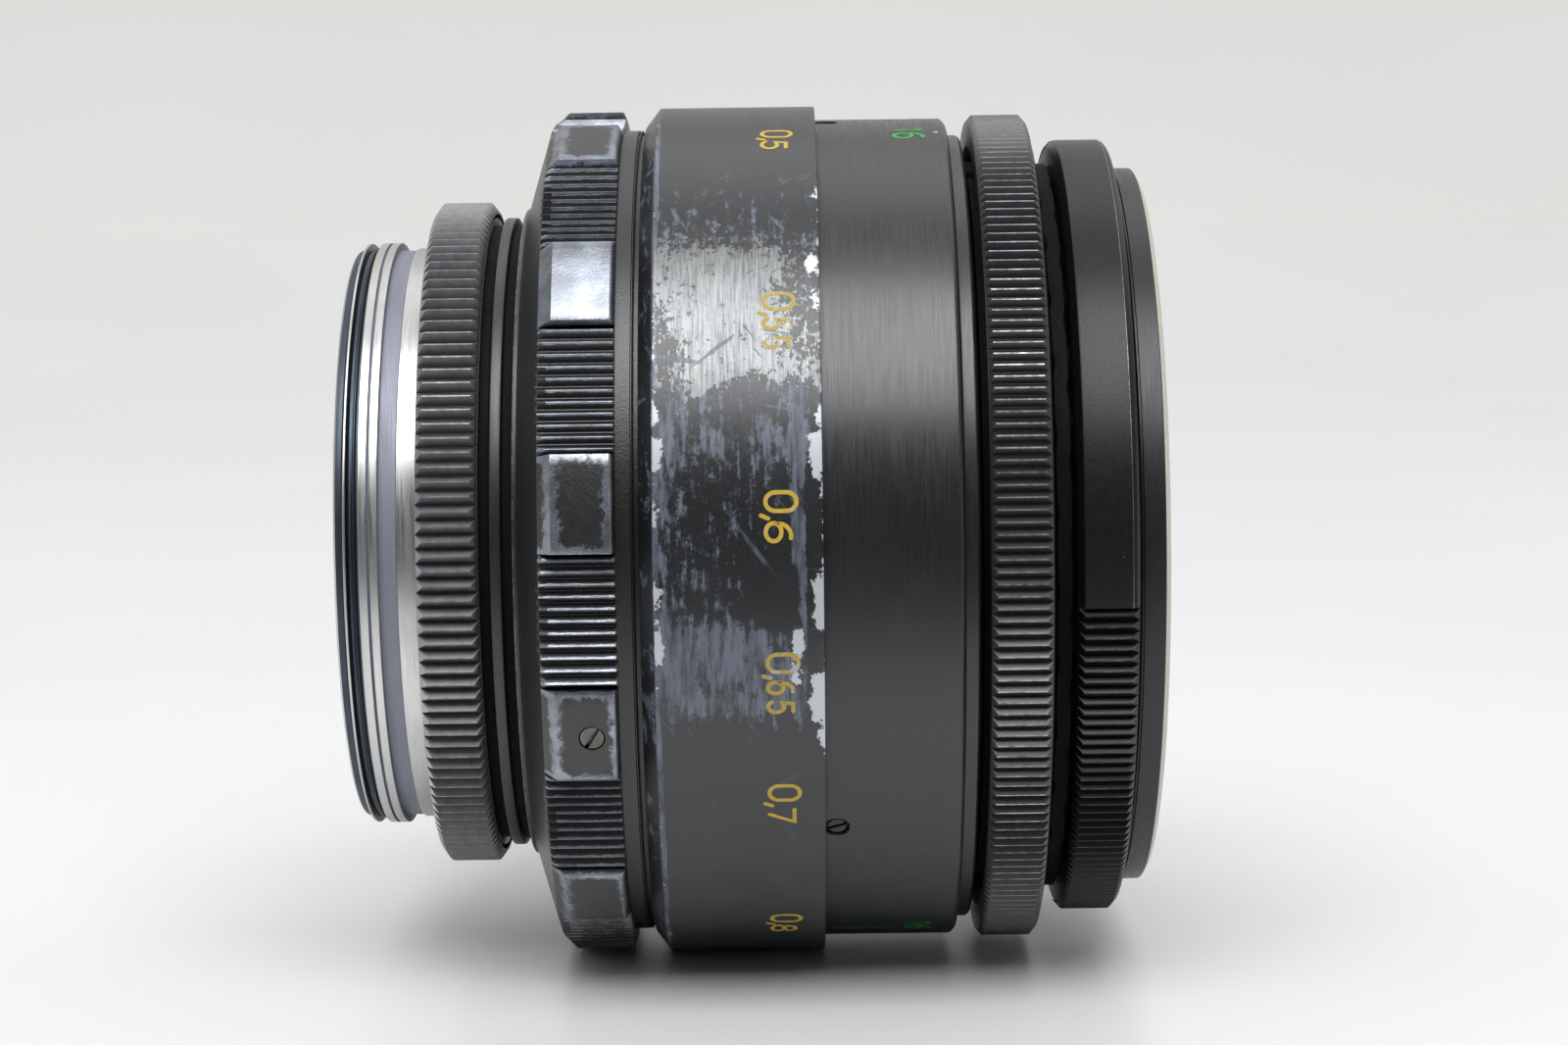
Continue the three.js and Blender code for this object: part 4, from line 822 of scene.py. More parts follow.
# chips in the sleeve's black along its front and rear edges: from and to in degrees round the lens as
# the viewer sees it, width and distance from the edge in mm
FRONT_CHIPS = [(-49, -46, 0.45, 0), (-37, -33, 0.7, 0.3), (-31, -27, 0.5, 0.1), (-15, -12, 0.45, 0),
               (-12, -5.5, 0.85, 0), (-6, -3, 0.35, 0), (5.5, 13, 0.75, 0), (12, 16.5, 0.9, 1.3),
               (17, 20, 0.7, 1.5), (18, 25, 0.95, 0), (24, 29, 0.4, 0)]
REAR_CHIPS = [(-16, -12, 0.35, 0), (-12, -7, 0.6, 0), (-3, 0, 0.4, 0), (6, 9.5, 0.6, 0), (12, 17, 0.55, 0)]


def wrap(angle):
    return (angle + 180) % 360 - 180


def chipped(places, t, away):
    """How deep in a chip a point is, from its angle and its distance to the edge."""
    most = 0.0
    for first, last, width, start in places:
        reach = smooth(start + width + 0.5, start + width - 0.45, away)
        if start:
            reach *= smooth(start - 0.5, start + 0.4, away)
        most = max(most, zone(t, first - 2, first + 2, last - 2, last + 2) * reach)
    return most


def sleeve():
    bore = SLEEVE_R - 0.66
    lip = SLEEVE_R - 1.6
    bevel = 1.0
    a, b = SLEEVE_FROM, SLEEVE_TO
    outline = soften([(a, lip), (a, SLEEVE_R - 1.3), (a + bevel, SLEEVE_R), (b, SLEEVE_R), (b, bore),
                      (a + 0.77, bore), (a + 0.77, lip)], 0.06, 2)
    # one more point on the bevel, close to its front edge
    outline.insert(next(i for i, q in enumerate(outline) if q[0] > a + 0.9), (a + 0.88, SLEEVE_R - 0.156))
    outline = divided(outline, 0.3)

    def wear(s, r, angle, reach):
        t = wrap(angle + VIEW_TILT)
        rear = s - (a + bevel)
        front = b - s
        if rear < -0.1:
            return (0.0, 0.36, 0.0)
        if abs(t) > 88:
            # the far side, with a few broad patches
            red = 0.3 * smooth(0.62, 0.8, speck(s, angle, 0.08, 9))
            green = 0.1 + 0.4 * smooth(0.55, 0.75, speck(s, angle, 0.08, 9))
            return (red, green, 0.4 * smooth(0.5, 0.1, front) + 0.2 * smooth(0.3, 0.0, rear))
        wobble = 7 * (speck(s, angle, 0.2, 1) - 0.5)
        # bare metal above the middle, rubbed patchy near both edges of the sleeve
        bare = zone(t + wobble, -45, -36, -20, -13)
        patchy = max(smooth(4.2, 1.0, front) * smooth(-14, -26, t),
                     smooth(3.0, 0.6, rear) * smooth(-34, -24, t))
        gone = smooth(3.2, 1.6, front) * smooth(-20, -13, t)
        red = 0.06 + 0.70 * bare - 0.34 * patchy * bare - 0.5 * gone
        # blue-grey film and scratches on the black below it, denser in a streaked patch at the lower end
        middle = zone(t, -14, -8, 9, 13)
        lower = smooth(10, 14, t) * smooth(27, 22, t + 0.5 * wobble)
        stripe = smooth(0.7, 0.2, abs(front - 1.55)) * zone(t, -22, -14, 10, 16)
        green = 0.1 + 0.28 * zone(t, -54, -44, -38, -30) + 0.24 * middle + 0.62 * lower + 0.5 * stripe
        green += 0.38 * zone(t, -22, -17, -11, -6) + 0.22 * smooth(3.6, 0.4, rear) * zone(t, -24, -14, 20, 27)
        # two places in it that kept their black
        green -= 0.5 * zone(front, 1.2, 1.9, 3.8, 4.6) * zone(t, 3.5, 6, 11, 13.5)
        green -= 0.35 * smooth(1.3, 0.9, front) * smooth(-12, -6, t)
        film_line = smooth(0.34, 0.14, rear)
        green = max(green, film_line * (0.55 + 1.1 * zone(t, -75, -50, 45, 75)))
        line = smooth(0.34, 0.04, abs(rear)) * (0.3 + 0.2 * speck(s, angle, 0.4, 6))
        blue = max(0.95 * chipped(FRONT_CHIPS, t, front), 0.95 * chipped(REAR_CHIPS, t, rear), line,
                   0.5 * smooth(0.2, 0.02, front) * zone(t, -60, -46, 29, 34))
        return (red, green, blue)

    obj = ring("scale_sleeve", outline, SLEEVE_LOOK, 720, None, wear)
    adopt(obj, "focus_ring", BLACK_SLOT, "distance_scale_sleeve")


sleeve()

# ------------------------------------------------------------------ front barrel

BARREL_FROM, BARREL_TO = span("front_barrel_shell")
BARREL_R = SLEEVE_R - 0.96
BARREL_SCREW_STATION, BARREL_SCREW_ANGLE = 27.7, 37.0
# the bore of the barrel's front and of the aperture ring
FRONT_BORE = 24.9


def barrel():
    a, b = BARREL_FROM, BARREL_TO
    shell_end = b - 1.03
    lip = BARREL_R - 1.2
    bore = BARREL_R - 1.0
    hole_s = BARREL_SCREW_STATION
    outline = [(a, bore), (a, BARREL_R), (shell_end - 0.32, BARREL_R), (shell_end, BARREL_R - 0.32),
               (shell_end, lip), (b - 0.2, lip), (b, lip - 0.15), (b, FRONT_BORE),
               (shell_end - 1.1, FRONT_BORE), (shell_end - 1.1, bore)]

    def shape(s, r, angle):
        if abs(r - BARREL_R) > 0.01:
            return r
        for k in range(3):
            across = math.radians(wrap(angle - BARREL_SCREW_ANGLE - 120 * k)) * BARREL_R
            if math.hypot(across, s - hole_s) < 0.8:
                return r - 0.35
        return r

    outline = divided(soften(outline, 0.08, 2), 1.2)
    # closer points round the three screw holes
    angles = {i * 1.5 for i in range(240)}
    for k in range(3):
        angles |= {round((BARREL_SCREW_ANGLE + 120 * k + d * 0.1) % 360, 3) for d in range(-20, 21)}
    dense = []
    for p, q in zip(outline, outline[1:] + outline[:1]):
        dense.append(p)
        on_shell = abs(p[1] - BARREL_R) < 0.01 and abs(q[1] - BARREL_R) < 0.01
        if on_shell and p[0] < hole_s + 1.2 and q[0] > hole_s - 1.2:
            n = max(1, round(abs(q[0] - p[0]) / 0.15))
            dense += [(p[0] + (q[0] - p[0]) * k / n, BARREL_R) for k in range(1, n)]
    obj = ring("barrel_shell", dense, BLACK, sorted(angles), shape)
    adopt(obj, "barrel", BLACK_SLOT, "front_barrel_shell")


barrel()

# ------------------------------------------------------------------ preset ring

PRESET_FROM, PRESET_TO = span("preset_ring")
PRESET_R = 29.5
PRESET_TEETH = 230


def preset():
    a, b = PRESET_FROM, PRESET_TO
    depth = 0.42
    low = PRESET_R - depth + 0.01
    pocket, bore = PRESET_R - 0.9, 27.3
    body = ring("preset_ring_body", [(a, bore), (a, low), (b, low), (b, pocket), (a + 1.6, pocket),
                                     (a + 1.6, bore)], PRESET_LOOK, PRESET_TEETH, wear=even_wear)
    adopt(body, "preset_ring", BLACK_SLOT, "preset_ring")
    obj = knurl("preset_ring_teeth", a, b, PRESET_R, depth, PRESET_TEETH, 0, PRESET_LOOK, 0.36, 0.09,
                worn=0.52, ends=(0.1, 0.45))
    adopt(obj, "preset_ring", BLACK_SLOT)


preset()

# ------------------------------------------------------------------ aperture ring

APERTURE_FROM, APERTURE_TO = span("aperture_ring")
APERTURE_R = box_radius("aperture_ring")
# the two stretches with teeth, in degrees
KNURLED = [(5.6, 85.6), (185.6, 265.6)]
FRONT_TEETH = 226


def aperture():
    a, b = APERTURE_FROM, APERTURE_TO
    depth = 0.45
    low = APERTURE_R - depth
    shoulder = b - 0.46
    half_pitch = 180 / FRONT_TEETH
    # each point with its depth below the ring's largest radius
    steps = [(a, 0.7), (a + 0.05, 0.55), (a + 0.4, 0.06), (a + 0.55, 0), (b - 0.53, 0), (shoulder, 0),
             (b - 0.39, 0.03), (b - 0.2, 0.12), (b - 0.04, 0.32), (b, depth), (b, 0.55)]
    outline = [(a, FRONT_BORE)] + [(s, APERTURE_R - d) for s, d in steps] + [(b, FRONT_BORE)]
    edges = [e for pair in KNURLED for e in pair]
    angles = {round(i * 1.5, 3) for i in range(240)} | {round(e + d, 3) for e in edges for d in (-0.1, 0.0)}

    def shape(s, r, angle):
        if any(start <= angle <= end - 0.05 for start, end in KNURLED):
            return min(r, low + 0.01)
        return r - 0.04 if r > low else r

    def wear(s, r, angle, reach):
        """Rubbed along the shoulder, the edge of the front face, the rear and the ends of the teeth."""
        red = smooth(0.06, 0.0, abs(shoulder - s)) * 1.6
        red += smooth(0.06, 0.0, b - s) * smooth(0.05, 0.0, abs(low - r)) * 1.5
        red += smooth(0.5, 0.3, s - a) * 0.45
        near = max(smooth(0.5, 0.0, abs(angle - e)) for e in edges)
        return (red + 0.6 * near * (r > low), 0.42, 0.0)

    def toothed(angle):
        return any(start + half_pitch - 0.1 <= angle <= end - half_pitch + 0.1 for start, end in KNURLED)

    body = ring("aperture_ring_body", outline, FRONT_KNURL_LOOK, sorted(angles), shape, wear, 25)
    adopt(body, "aperture_ring", BLACK_SLOT, "aperture_ring")
    obj = knurl("aperture_ring_teeth", a, b, APERTURE_R, depth, FRONT_TEETH, 0.2, FRONT_KNURL_LOOK, 0.4, 0.09,
                toothed, 0.45, (0.1, 0.3))
    adopt(obj, "aperture_ring", BLACK_SLOT)


aperture()

# ------------------------------------------------------------------ front rim and cell

RIM_FROM, RIM_TO = span("filter_rim")
RIM_R = box_radius("filter_rim")


def rim():
    a, b = RIM_FROM, RIM_TO
    thread = RIM_R - 1.1
    depth = 0.4
    pitch = 0.75
    outline = [(a, thread - depth), (a, RIM_R - 0.25), (a + 0.05, RIM_R - 0.2), (a + 0.16, RIM_R - 0.2),
               (a + 0.2, RIM_R), (b - 0.42, RIM_R), (b - 0.36, RIM_R - 0.05), (b - 0.02, RIM_R - 0.66),
               (b, RIM_R - 0.75), (b, thread), (b - 0.1, thread - 0.02)]
    s = b - 0.1
    while s > a + 0.4:
        outline += [(s - 0.19, thread - depth), (s - pitch / 2, thread)]
        s -= pitch / 2
    obj = ring("rim", outline, BLACK_RING, 256)
    # the bare front chamfer takes the cream look: a painted reflection of the warm wall
    obj.data.materials.append(PAINTED_CHAMFER_REFLECTION)
    for face in obj.data.polygons:
        station, r = place_of(face)
        if station > b - 0.33 and r > thread + 0.1:
            face.material_index = 1
    adopt(obj, "barrel", BLACK_SLOT, "filter_rim")


rim()


def front_cell_piece():
    """The cell's visible front: a flange, a stepped cone and the seat under the retaining ring."""
    start, end = span("front_cell")
    outline = [(end - 1.06, 24.6), (end - 0.06, 24.6), (end, 24.54), (end, 23.8), (end - 0.12, 23.74)]
    steps = 24
    top_s, top_r = end - 0.2, 23.3
    low_s, low_r = 38.95, 18.5
    length, drop = low_s - top_s, low_r - top_r
    for k in range(steps):
        f0, f1 = k / steps, (k + 0.78) / steps
        outline += [(top_s + length * f0, top_r + drop * f0), (top_s + length * f1, top_r + drop * f1 + 0.14)]
    seat_r, seat_s = 18.3, 34.3
    lens_r, hole_r = 15.9, 11.3
    outline += [(low_s, seat_r), (seat_s, seat_r), (seat_s, lens_r), (start + 1.2, lens_r),
                (start + 1.2, hole_r), (start, hole_r), (start, 18.7), (33.6, 18.7), (33.6, 22.4),
                (end - 1.3, 22.95), (end - 1.06, 23.4)]
    obj = ring("front_cell_cone", outline, MATT, 224, sharp=20)
    adopt(obj, "barrel", "matt_black_aluminium", "front_cell")


front_cell_piece()


def retaining_ring(name, node, radius, wall, faces_front):
    """A ring with two spanner slots sunk into its outer face."""
    start, end = span(node)
    outline = soften([(start, radius - wall), (start, radius), (end, radius), (end, radius - wall + 0.12),
                      (end - 0.12, radius - wall)], 0.05, 2)
    obj = ring(name, outline, BLACK_RING, [i * 2.25 for i in range(160)])
    outer, sink = (end, -0.5) if faces_front else (start, 0.5)
    for middle in (math.radians(90), math.radians(270)):
        for v in obj.data.vertices:
            angle = math.atan2(-(v.co.z - AXIS_Z), -v.co.y)
            away = (angle - middle + math.pi) % (2 * math.pi) - math.pi
            if abs((v.co.x - SEAT) / MM - outer) < 0.16 and abs(away) * radius < 1.0:
                v.co.x += sink * MM
    adopt(obj, "barrel", "matt_black_aluminium", node)


retaining_ring("front_retaining_ring_slotted", "front_retaining_ring", 18.0, 0.6, True)
retaining_ring("rear_retaining_ring_slotted", "rear_retaining_ring", 13.4, 1.2, False)

# ------------------------------------------------------------------ glass

VERTEX = RIM_TO - 8.19
# along the axis in mm: the elements' thicknesses, the narrow air gaps and the wide one for the iris
FRONT_THICK, CROWN_THICK, FLINT_THICK, REAR_CROWN_THICK, REAR_THICK = 5.09, 7.27, 2.21, 6.4, 4.07
AIR, IRIS_SPACE = 0.29, 17.51
# the film between the halves of a cemented pair
CEMENT = 0.1


def lens(name, front, rear, look, node):
    adopt(dome(name, front, rear, look), "barrel", "coated_glass", node)


def flat(station, radius):
    return [(station, 0.0), (station, radius)]


def lenses():
    radius = 18.0
    rear = VERTEX - FRONT_THICK
    lens("front_lens", arc_points(VERTEX, 32.68, radius), arc_points(rear, 88.55, radius), GLASS,
         "front_element")
    radius = 15.6
    front = rear - AIR
    joint = front - CROWN_THICK
    lens("front_crown_lens", arc_points(front, 21.91, radius), flat(joint, radius), GLASS_INNER,
         "front_crown_element")
    rear = joint - FLINT_THICK
    hollow = arc_points(rear, 14.09, 11.0)
    lens("front_flint_lens", flat(joint - CEMENT, radius), hollow + [(hollow[-1][0], radius)], GLASS_INNER,
         "front_flint_element")
    radius = 12.6
    front = rear - IRIS_SPACE
    hollow = arc_points(front, -16.5, 10.0)
    joint = front - FLINT_THICK
    lens("rear_flint_lens", hollow + [(hollow[-1][0], radius)], flat(joint, radius), GLASS_INNER,
         "rear_flint_element")
    rear = joint - REAR_CROWN_THICK
    lens("rear_crown_lens", flat(joint - CEMENT, radius), arc_points(rear, -22.05, radius), GLASS_INNER,
         "rear_crown_element")
    radius = 13.4
    front = rear - AIR
    lens("rear_lens", arc_points(front, 103.2, radius), arc_points(front - REAR_THICK, -46.2, radius),
         GLASS_AMBER, "rear_element")


lenses()

# ------------------------------------------------------------------ screws


def slotted_screw(name, station, angle, top, radius, look, body, node, turn):
    """A slotted cheese head, seen from outside the lens. turn is the slot's direction."""
    n = 40
    loops = [(radius, top - 1.2), (radius, top - 0.06), (radius - 0.05, top), (radius / 2, top), (0.02, top)]
    verts, faces = [], []
    for r, height in loops:
        for i in range(n):
            a = 2 * math.pi * i / n
            verts.append((r * math.cos(a), r * math.sin(a), height))
    for k in range(len(loops) - 1):
        for i in range(n):
            j = (i + 1) % n
            faces.append((k * n + i, k * n + j, (k + 1) * n + j, (k + 1) * n + i))
    faces.append(tuple((len(loops) - 1) * n + i for i in range(n)))
    faces.append(tuple(reversed(range(n))))
    obj = finish_mesh(name, verts, faces, look, 30)
    # cut the slot
    bpy.ops.mesh.primitive_cube_add(size=1)
    tool = bpy.context.object
    tool.data.transform(Matrix.Translation((0, 0, top + 0.1)) @ Matrix.Rotation(math.radians(turn), 4, "Z")
                        @ Matrix.Diagonal((radius * 3, radius * 0.34, 1.0, 1)))
    mesh = cut(obj, tool)
    # stand it on the lens
    a = math.radians(angle)
    out = Vector((0, -math.cos(a), -math.sin(a)))
    along = Vector((1, 0, 0))
    side = out.cross(along)
    place = Matrix((along * MM, side * MM, out * MM)).transposed().to_4x4()
    place.translation = Vector((SEAT + station * MM, 0, AXIS_Z))
    mesh.transform(place)
    shade(mesh, 30)
    adopt(obj, body, "steel", node)


for k in range(3):
    slotted_screw(f"grip_screw_{k + 1}", SET_SCREW_STATION, SET_SCREW_ANGLE + 120 * k, GRIP_R - 0.05, 0.82,
                  SCREW_LOOK, "focus_ring", f"grip_set_screw_{k + 1}", 60)
    slotted_screw(f"shell_screw_{k + 1}", BARREL_SCREW_STATION, BARREL_SCREW_ANGLE + 120 * k, BARREL_R - 0.12,
                  0.66, BLADE_LOOK, "barrel", f"barrel_screw_{k + 1}", 20)

# ------------------------------------------------------------------ engraved scales


def bow(cx, cy, rx, ry, start, end, n=14):
    return [(cx + rx * math.cos(math.radians(start + (end - start) * i / n)),
             cy + ry * math.sin(math.radians(start + (end - start) * i / n))) for i in range(n + 1)]


# single strokes in a cell 0.6 wide and 1 tall
GLYPHS = {
    "0": [bow(0.3, 0.68, 0.3, 0.32, 0, 180) + bow(0.3, 0.32, 0.3, 0.32, 180, 360) + [(0.6, 0.68)]],
    "1": [[(0.12, 0.8), (0.34, 1.0), (0.34, 0.0)]],
    "2": [bow(0.3, 0.7, 0.28, 0.3, 165, -35) + [(0.04, 0.0), (0.6, 0.0)]],
    "3": [bow(0.29, 0.76, 0.26, 0.24, 150, -75), bow(0.29, 0.27, 0.3, 0.27, 80, -155)],
    "4": [[(0.46, 0.0), (0.46, 1.0), (0.02, 0.28), (0.6, 0.28)]],
    "5": [[(0.54, 1.0), (0.12, 1.0), (0.07, 0.56)] + bow(0.29, 0.32, 0.3, 0.32, 125, -150)],
    "6": [bow(0.42, 0.45, 0.4, 0.55, 80, 165, 8) + bow(0.3, 0.31, 0.29, 0.31, 160, -200, 20)],
    "7": [[(0.03, 1.0), (0.58, 1.0), (0.24, 0.0)]],
    "8": [bow(0.3, 0.76, 0.24, 0.24, 0, 360, 18), bow(0.3, 0.26, 0.29, 0.26, 0, 360, 20)],
    "9": [bow(0.18, 0.55, 0.4, 0.55, -100, -15, 8) + bow(0.3, 0.69, 0.29, 0.31, -20, 340, 20)],
    ",": [[(0.1, 0.1), (0.0, -0.18)]],
    ".": [[(0.07, 0.0), (0.07, 0.07)]],
    "8s": [bow(0.28, 0.4, 0.28, 0.25, 0, 360, 18), bow(0.84, 0.4, 0.28, 0.25, 180, 540, 18)],
    "|": [[(0.0, 0.0), (0.0, 1.0)]],
}
WIDTHS = {",": 0.1, ".": 0.16, "1": 0.5, "8s": 1.12, "|": 0.1}


def strip(points, width):
    """Left and right edges of a stroke with round ends, and whether the stroke is closed."""
    closed = math.dist(points[0], points[-1]) < 1e-3
    pts = [Vector(p) for p in points]
    if closed:
        pts = pts[:-1]
    n = len(pts)
    left, right = [], []
    for i, p in enumerate(pts):
        before = pts[i - 1] if i or closed else None
        after = pts[(i + 1) % n] if i < n - 1 or closed else None
        d0 = (p - before).normalized() if before is not None else None
        d1 = (after - p).normalized() if after is not None else None
        d0, d1 = d0 or d1, d1 or d0
        mid = (d0 + d1).normalized() if (d0 + d1).length > 1e-6 else d1
        normal = Vector((-mid.y, mid.x))
        stretch = min(1.6, 1 / max(0.3, mid.dot(d1)))
        left.append(p + normal * width / 2 * stretch)
        right.append(p - normal * width / 2 * stretch)
    if closed:
        return left, right, closed
    for end, sign in ((0, -1), (-1, 1)):
        d = (pts[1] - pts[0]).normalized() if end == 0 else (pts[-1] - pts[-2]).normalized()
        normal = Vector((-d.y, d.x))
        for degrees in (35, 65, 85):
            c, s = math.cos(math.radians(degrees)), math.sin(math.radians(degrees))
            tip = pts[end] + d * sign * s * width / 2
            at = 0 if end == 0 else len(left)
            left.insert(at, tip + normal * c * width / 2)
            right.insert(at, tip - normal * c * width / 2)
    return left, right, closed


def engrave(name, text, angle, base, height, radius, look, body, stroke, following=None):
    """Figures that read round the lens with their tops to the front. following is the height of all
    figures after the first."""
    glyphs = ["8s"] if text == "inf" else list(text)
    sizes = [height if i == 0 or following is None else following for i in range(len(glyphs))]
    wides = [height * (0.66 if i and following and len(glyphs) > 3 else 1.0) for i in range(len(glyphs))]
    gaps = [height * (0.14 if "," in glyphs[i:i + 2] else 0.28) for i in range(len(glyphs))]
    total = sum(WIDTHS.get(g, 0.6) * w + gap for g, w, gap in zip(glyphs, wides, gaps)) - gaps[-1]
    cursor = -total / 2
    layer = 0
    verts, faces = [], []
    for g, h, w, gap in zip(glyphs, sizes, wides, gaps):
        for path in GLYPHS[g]:
            left, right, closed = strip([(cursor + x * w, y * h) for x, y in path], stroke)
            first = len(verts)
            # strokes that cross lie at slightly different heights
            lift = radius + 0.012 + 0.004 * layer
            layer = (layer + 1) % 3
            for l, r in zip(left, right):
                for q in (l, r):
                    verts.append(point(base + q.y, lift, angle + math.degrees(q.x / radius)))
            count = len(left)
            for i in range(count if closed else count - 1):
                j = (i + 1) % count
                faces.append((first + 2 * i, first + 2 * j, first + 2 * j + 1, first + 2 * i + 1))
        cursor += WIDTHS.get(g, 0.6) * w + gap
    adopt(finish_mesh(name, verts, faces, look), body, BLACK_SLOT)


def distance_angle(metres):
    """Where a distance stands on the sleeve, from the sharp image's extension in mm."""
    focal, degrees_per_mm, far = 58.0, 31.1, 218.0 - VIEW_TILT
    if metres is None:
        return far
    d = metres * 1000
    extension = (d - math.sqrt(d * d - 4 * d * focal)) / 2 - focal
    return far - extension * degrees_per_mm


SCALE_BASE = 23.25
FIGURE, SMALL_FIGURE = 2.0, 1.63
# the distances in the photo, with the angle at which the viewer sees each
NEAR = [("0,5", -61.5), ("0,55", -26.5), ("0,6", -1.3), ("0,65", 19.5), ("0,7", 37.0), ("0,8", 64.1)]
FAR = [("0,9", 0.9), ("1", 1.0), ("1,2", 1.2), ("1,5", 1.5), ("2", 2.0), ("3", 3.0), ("5", 5.0), ("10", 10.0),
       ("inf", None)]
DISTANCES = [(text, seen - VIEW_TILT) for text, seen in NEAR]
DISTANCES += [(text, distance_angle(metres)) for text, metres in FAR]
for text, angle in DISTANCES:
    look = YELLOW_WORN if text in ("0,55", "0,65") else YELLOW
    following = SMALL_FIGURE if "," in text else FIGURE
    engrave("distance_" + text.replace(",", "."), text, angle, SCALE_BASE, FIGURE, SLEEVE_R, look,
            "focus_ring", 0.28, following)

INDEX = 99.0 - VIEW_TILT
LINE_BASE = 27.2
# the lines for the depth of field on both sides of the index, and their angles from it
DEPTH_LINES = {"16": 25.0, "8": 12.5, "4": 6.25}
for text, away in DEPTH_LINES.items():
    look, length, base = (GREEN, 4.6, 32.6) if text == "16" else (WHITE, 3.4, 31.4)
    for side, tag in ((-1, "near"), (1, "far")):
        where = INDEX + side * away
        engrave(f"depth_line_{text}_{tag}", "|", where, LINE_BASE, length, BARREL_R, look, "barrel", 0.16)
        engrave(f"depth_{text}_{tag}", text, where + side * 1.6, base, 1.7, BARREL_R, look, "barrel", 0.2)
engrave("index_line", "|", INDEX, LINE_BASE, 7.4, BARREL_R, WHITE, "barrel", 0.3)
FIRST_STOP = -69.0 - VIEW_TILT
STOP_PITCH = 14
for i, text in enumerate(("16", "11", "8", "5,6", "4", "2,8", "2")):
    angle = FIRST_STOP - STOP_PITCH * i
    look = WHITE if i else GREEN
    engrave("stop_" + text.replace(",", "."), text, angle, 32.4, 2.0, BARREL_R, look, "barrel", 0.26)
    engrave(f"stop_dot_{i + 1}", ".", angle, 35.3, 1.0, BARREL_R, WHITE, "barrel", 0.3)

# ------------------------------------------------------------------ looks of the CAD nodes that stay

KEEP = {"lens_tube": SILVER_FINE, "helicoid_nut": BRASS, "preset_wave_spring": STEEL,
        "aperture_drive_pin": STEEL, "guide_key_1": BRASS, "guide_key_2": BRASS, "guide_key_screw_1": STEEL,
        "guide_key_screw_2": STEEL}
# the turned CAD nodes that stay, with the number of flat facets that each has round its axis
TURNED = {node: INNER_FACETS for node in (
    "lens_tube", "helicoid_nut", "aperture_link_sleeve", "iris_drive_ring", "iris_base_ring",
    "front_spacer_ring", "rear_cell", "rear_spacer_ring")}
TURNED.update({node: OUTER_FACETS for node in (
    "preset_wave_spring", "front_housing", "preset_notch_ring", "preset_sleeve")})
BODY_OF = {node: body for body, nodes in frame["record"]["behaviour"]["bodies"].items() for node in nodes}
SLOT_OF = {part["node"]: part["material_slot"] for part in frame["record"]["subparts"]}


def rounded(node, sides, look, strips=4):
    """A copy of a turned node whose flat facets are cut into strips and pushed out to true circles."""
    form = bmesh.new()
    form.from_mesh(frame["nodes"][node].data)
    bmesh.ops.remove_doubles(form, verts=form.verts, dist=1e-7)
    facet = 2 * math.pi / sides
    for k in range(sides * strips // 2):
        a = facet * (0.5 + k / strips)
        bmesh.ops.bisect_plane(form, geom=form.verts[:] + form.edges[:] + form.faces[:], dist=1e-7,
                               plane_co=(0, 0, AXIS_Z), plane_no=(0, -math.sin(a), math.cos(a)))
    for v in form.verts:
        y, z = v.co.y, v.co.z - AXIS_Z
        a = math.atan2(z, y)
        grow = math.cos(a - round(a / facet) * facet) / math.cos(facet / 2)
        v.co.y, v.co.z = y * grow, AXIS_Z + z * grow
    mesh = bpy.data.meshes.new(node + "_turned")
    form.to_mesh(mesh)
    form.free()
    shade(mesh, 30)
    return show(node + "_turned", mesh, look)


for node, sides in TURNED.items():
    adopt(rounded(node, sides, KEEP.get(node, MATT)), BODY_OF[node], SLOT_OF[node], node)
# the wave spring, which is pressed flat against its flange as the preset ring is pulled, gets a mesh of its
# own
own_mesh(bpy.data.objects["preset_wave_spring_turned"])
for node, obj in frame["nodes"].items():
    if not obj.hide_render:
        look = KEEP.get(node) or (BLADE_LOOK if node.startswith("iris_blade") else MATT)
        obj.data.materials.clear()
        obj.data.materials.append(look)

# ------------------------------------------------------------------ stage, light and camera


def stage():
    """A table with a curved rise to the wall behind it, pale under the lens and turning dark grey in front as
    painted shade.
    """
    look = Look("pale_table_painted_front_shade")
    pale = look.mix(look.step(look.noise(0.01, 3, 0.5), 0.3, 0.7), (0.80, 0.80, 0.80), (0.83, 0.83, 0.83))
    place = look.add("ShaderNodeSeparateXYZ", {"Vector": look.coords()}).outputs["Y"]
    # painted shade: the table darkens from 36 to 150 mm in front of the lens, towards the viewer
    color = look.mix(look.step(place, -36, -150), pale, (0.16, 0.16, 0.165))
    table_look = look.surface(color, 0.0, 0.3, look.bump(look.noise(0.2, 2), 0.01))
    wall = Look("warm_wall")
    warm = wall.mix(wall.step(wall.noise(0.004, 2), 0.3, 0.7), (0.80, 0.795, 0.77), (0.83, 0.825, 0.80))
    wall_look = wall.surface(warm, 0.0, 0.9)
    half, back, front = 3.0, 0.62, -1.6
    radius, wall_height = 0.25, 2.0
    # the table lies this far under the lens, so that the two don't share a surface
    drop = 0.00002
    profile = [(front, 0.0)] + [(front + (back - front) * k / 12, 0.0) for k in range(1, 13)]
    for a in range(6, 91, 6):
        bend = math.radians(a)
        profile.append((back + radius * math.sin(bend), radius - radius * math.cos(bend)))
    profile.append((back + radius, radius + wall_height))
    verts = [(x, y, z - drop) for y, z in profile for x in (-half, half)]
    faces = [(2 * i, 2 * i + 1, 2 * i + 3, 2 * i + 2) for i in range(len(profile) - 1)]
    floor = finish_mesh("floor", verts, faces, table_look, 60)
    floor.data.materials.append(wall_look)
    for face in floor.data.polygons:
        if face.center.z > 0.03:
            face.material_index = 1


stage()


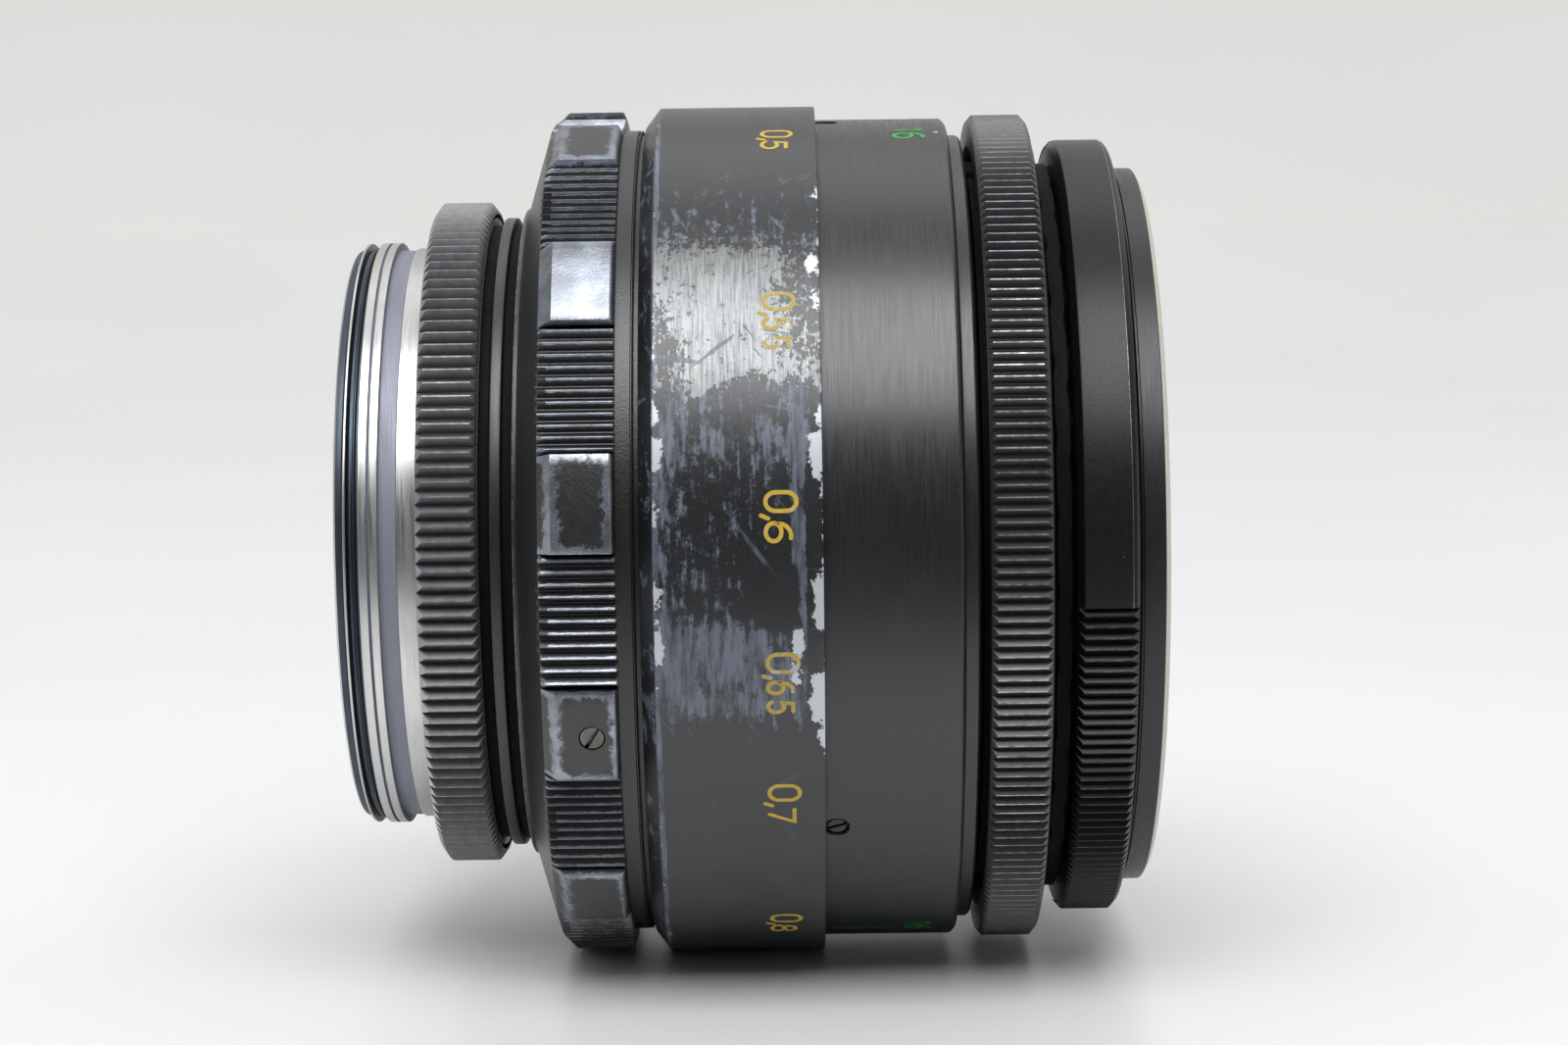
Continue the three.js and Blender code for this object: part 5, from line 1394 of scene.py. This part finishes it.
def area_light(name, place, target, width, height, power, color):
    lamp = bpy.data.lights.new(name, "AREA")
    lamp.shape = "RECTANGLE"
    lamp.size, lamp.size_y, lamp.energy, lamp.color = width, height, power, color
    obj = bpy.data.objects.new(name, lamp)
    bpy.context.scene.collection.objects.link(obj)
    obj.location = place
    obj.rotation_euler = (Vector(target) - Vector(place)).to_track_quat("-Z", "Y").to_euler()


area_light("key_softbox", (0.0, -0.475, 0.735), (0, 0, 0.03), 0.8, 0.57, 7.4, (0.98, 0.99, 1.0))
area_light("ceiling_softbox", (0.0, 0.55, 1.05), (0, 0.45, 0.0), 2.6, 0.6, 5.4, (1.0, 0.995, 0.98))

# a pale room that is darker on the viewer's side
world = bpy.data.worlds.new("pale_room")
world.use_nodes = True
tree = world.node_tree
direction = tree.nodes.new("ShaderNodeTexCoord")
parts = tree.nodes.new("ShaderNodeSeparateXYZ")
dim = tree.nodes.new("ShaderNodeMapRange")
dim.interpolation_type = "SMOOTHSTEP"
tree.links.new(direction.outputs["Generated"], parts.inputs[0])
tree.links.new(parts.outputs["Y"], dim.inputs["Value"])
for name, value in (("From Min", -0.95), ("From Max", 0.0), ("To Min", 0.09), ("To Max", 0.68)):
    dim.inputs[name].default_value = value
tree.links.new(dim.outputs["Result"], tree.nodes["Background"].inputs["Strength"])
tree.nodes["Background"].inputs["Color"].default_value = (0.95, 0.97, 1.0, 1.0)
bpy.context.scene.world = world
bpy.context.scene.view_settings.view_transform = "Standard"


def camera():
    distance = 0.264
    tilt = math.radians(VIEW_TILT)
    roll = math.radians(0.745)
    aim_station = 24.43
    aim_raise = 0.36213 * MM
    data = bpy.data.cameras.new("camera")
    data.sensor_width = 36.0
    data.lens = 83.655
    data.clip_start = 0.01
    obj = bpy.data.objects.new("camera", data)
    bpy.context.scene.collection.objects.link(obj)
    x = SEAT + aim_station * MM
    place = Vector((x, -distance * math.cos(tilt), AXIS_Z + distance * math.sin(tilt)))
    aim = Vector((x, 0, AXIS_Z)) + Vector((0, math.sin(tilt), math.cos(tilt))) * aim_raise
    forward = (aim - place).normalized()
    right = forward.cross(Vector((0, 0, 1))).normalized()
    up = right.cross(forward)
    right, up = right * math.cos(roll) - up * math.sin(roll), up * math.cos(roll) + right * math.sin(roll)
    turn = Matrix((right, up, -forward)).transposed().to_4x4()
    obj.matrix_world = Matrix.Translation(place) @ turn
    bpy.context.scene.camera = obj


camera()
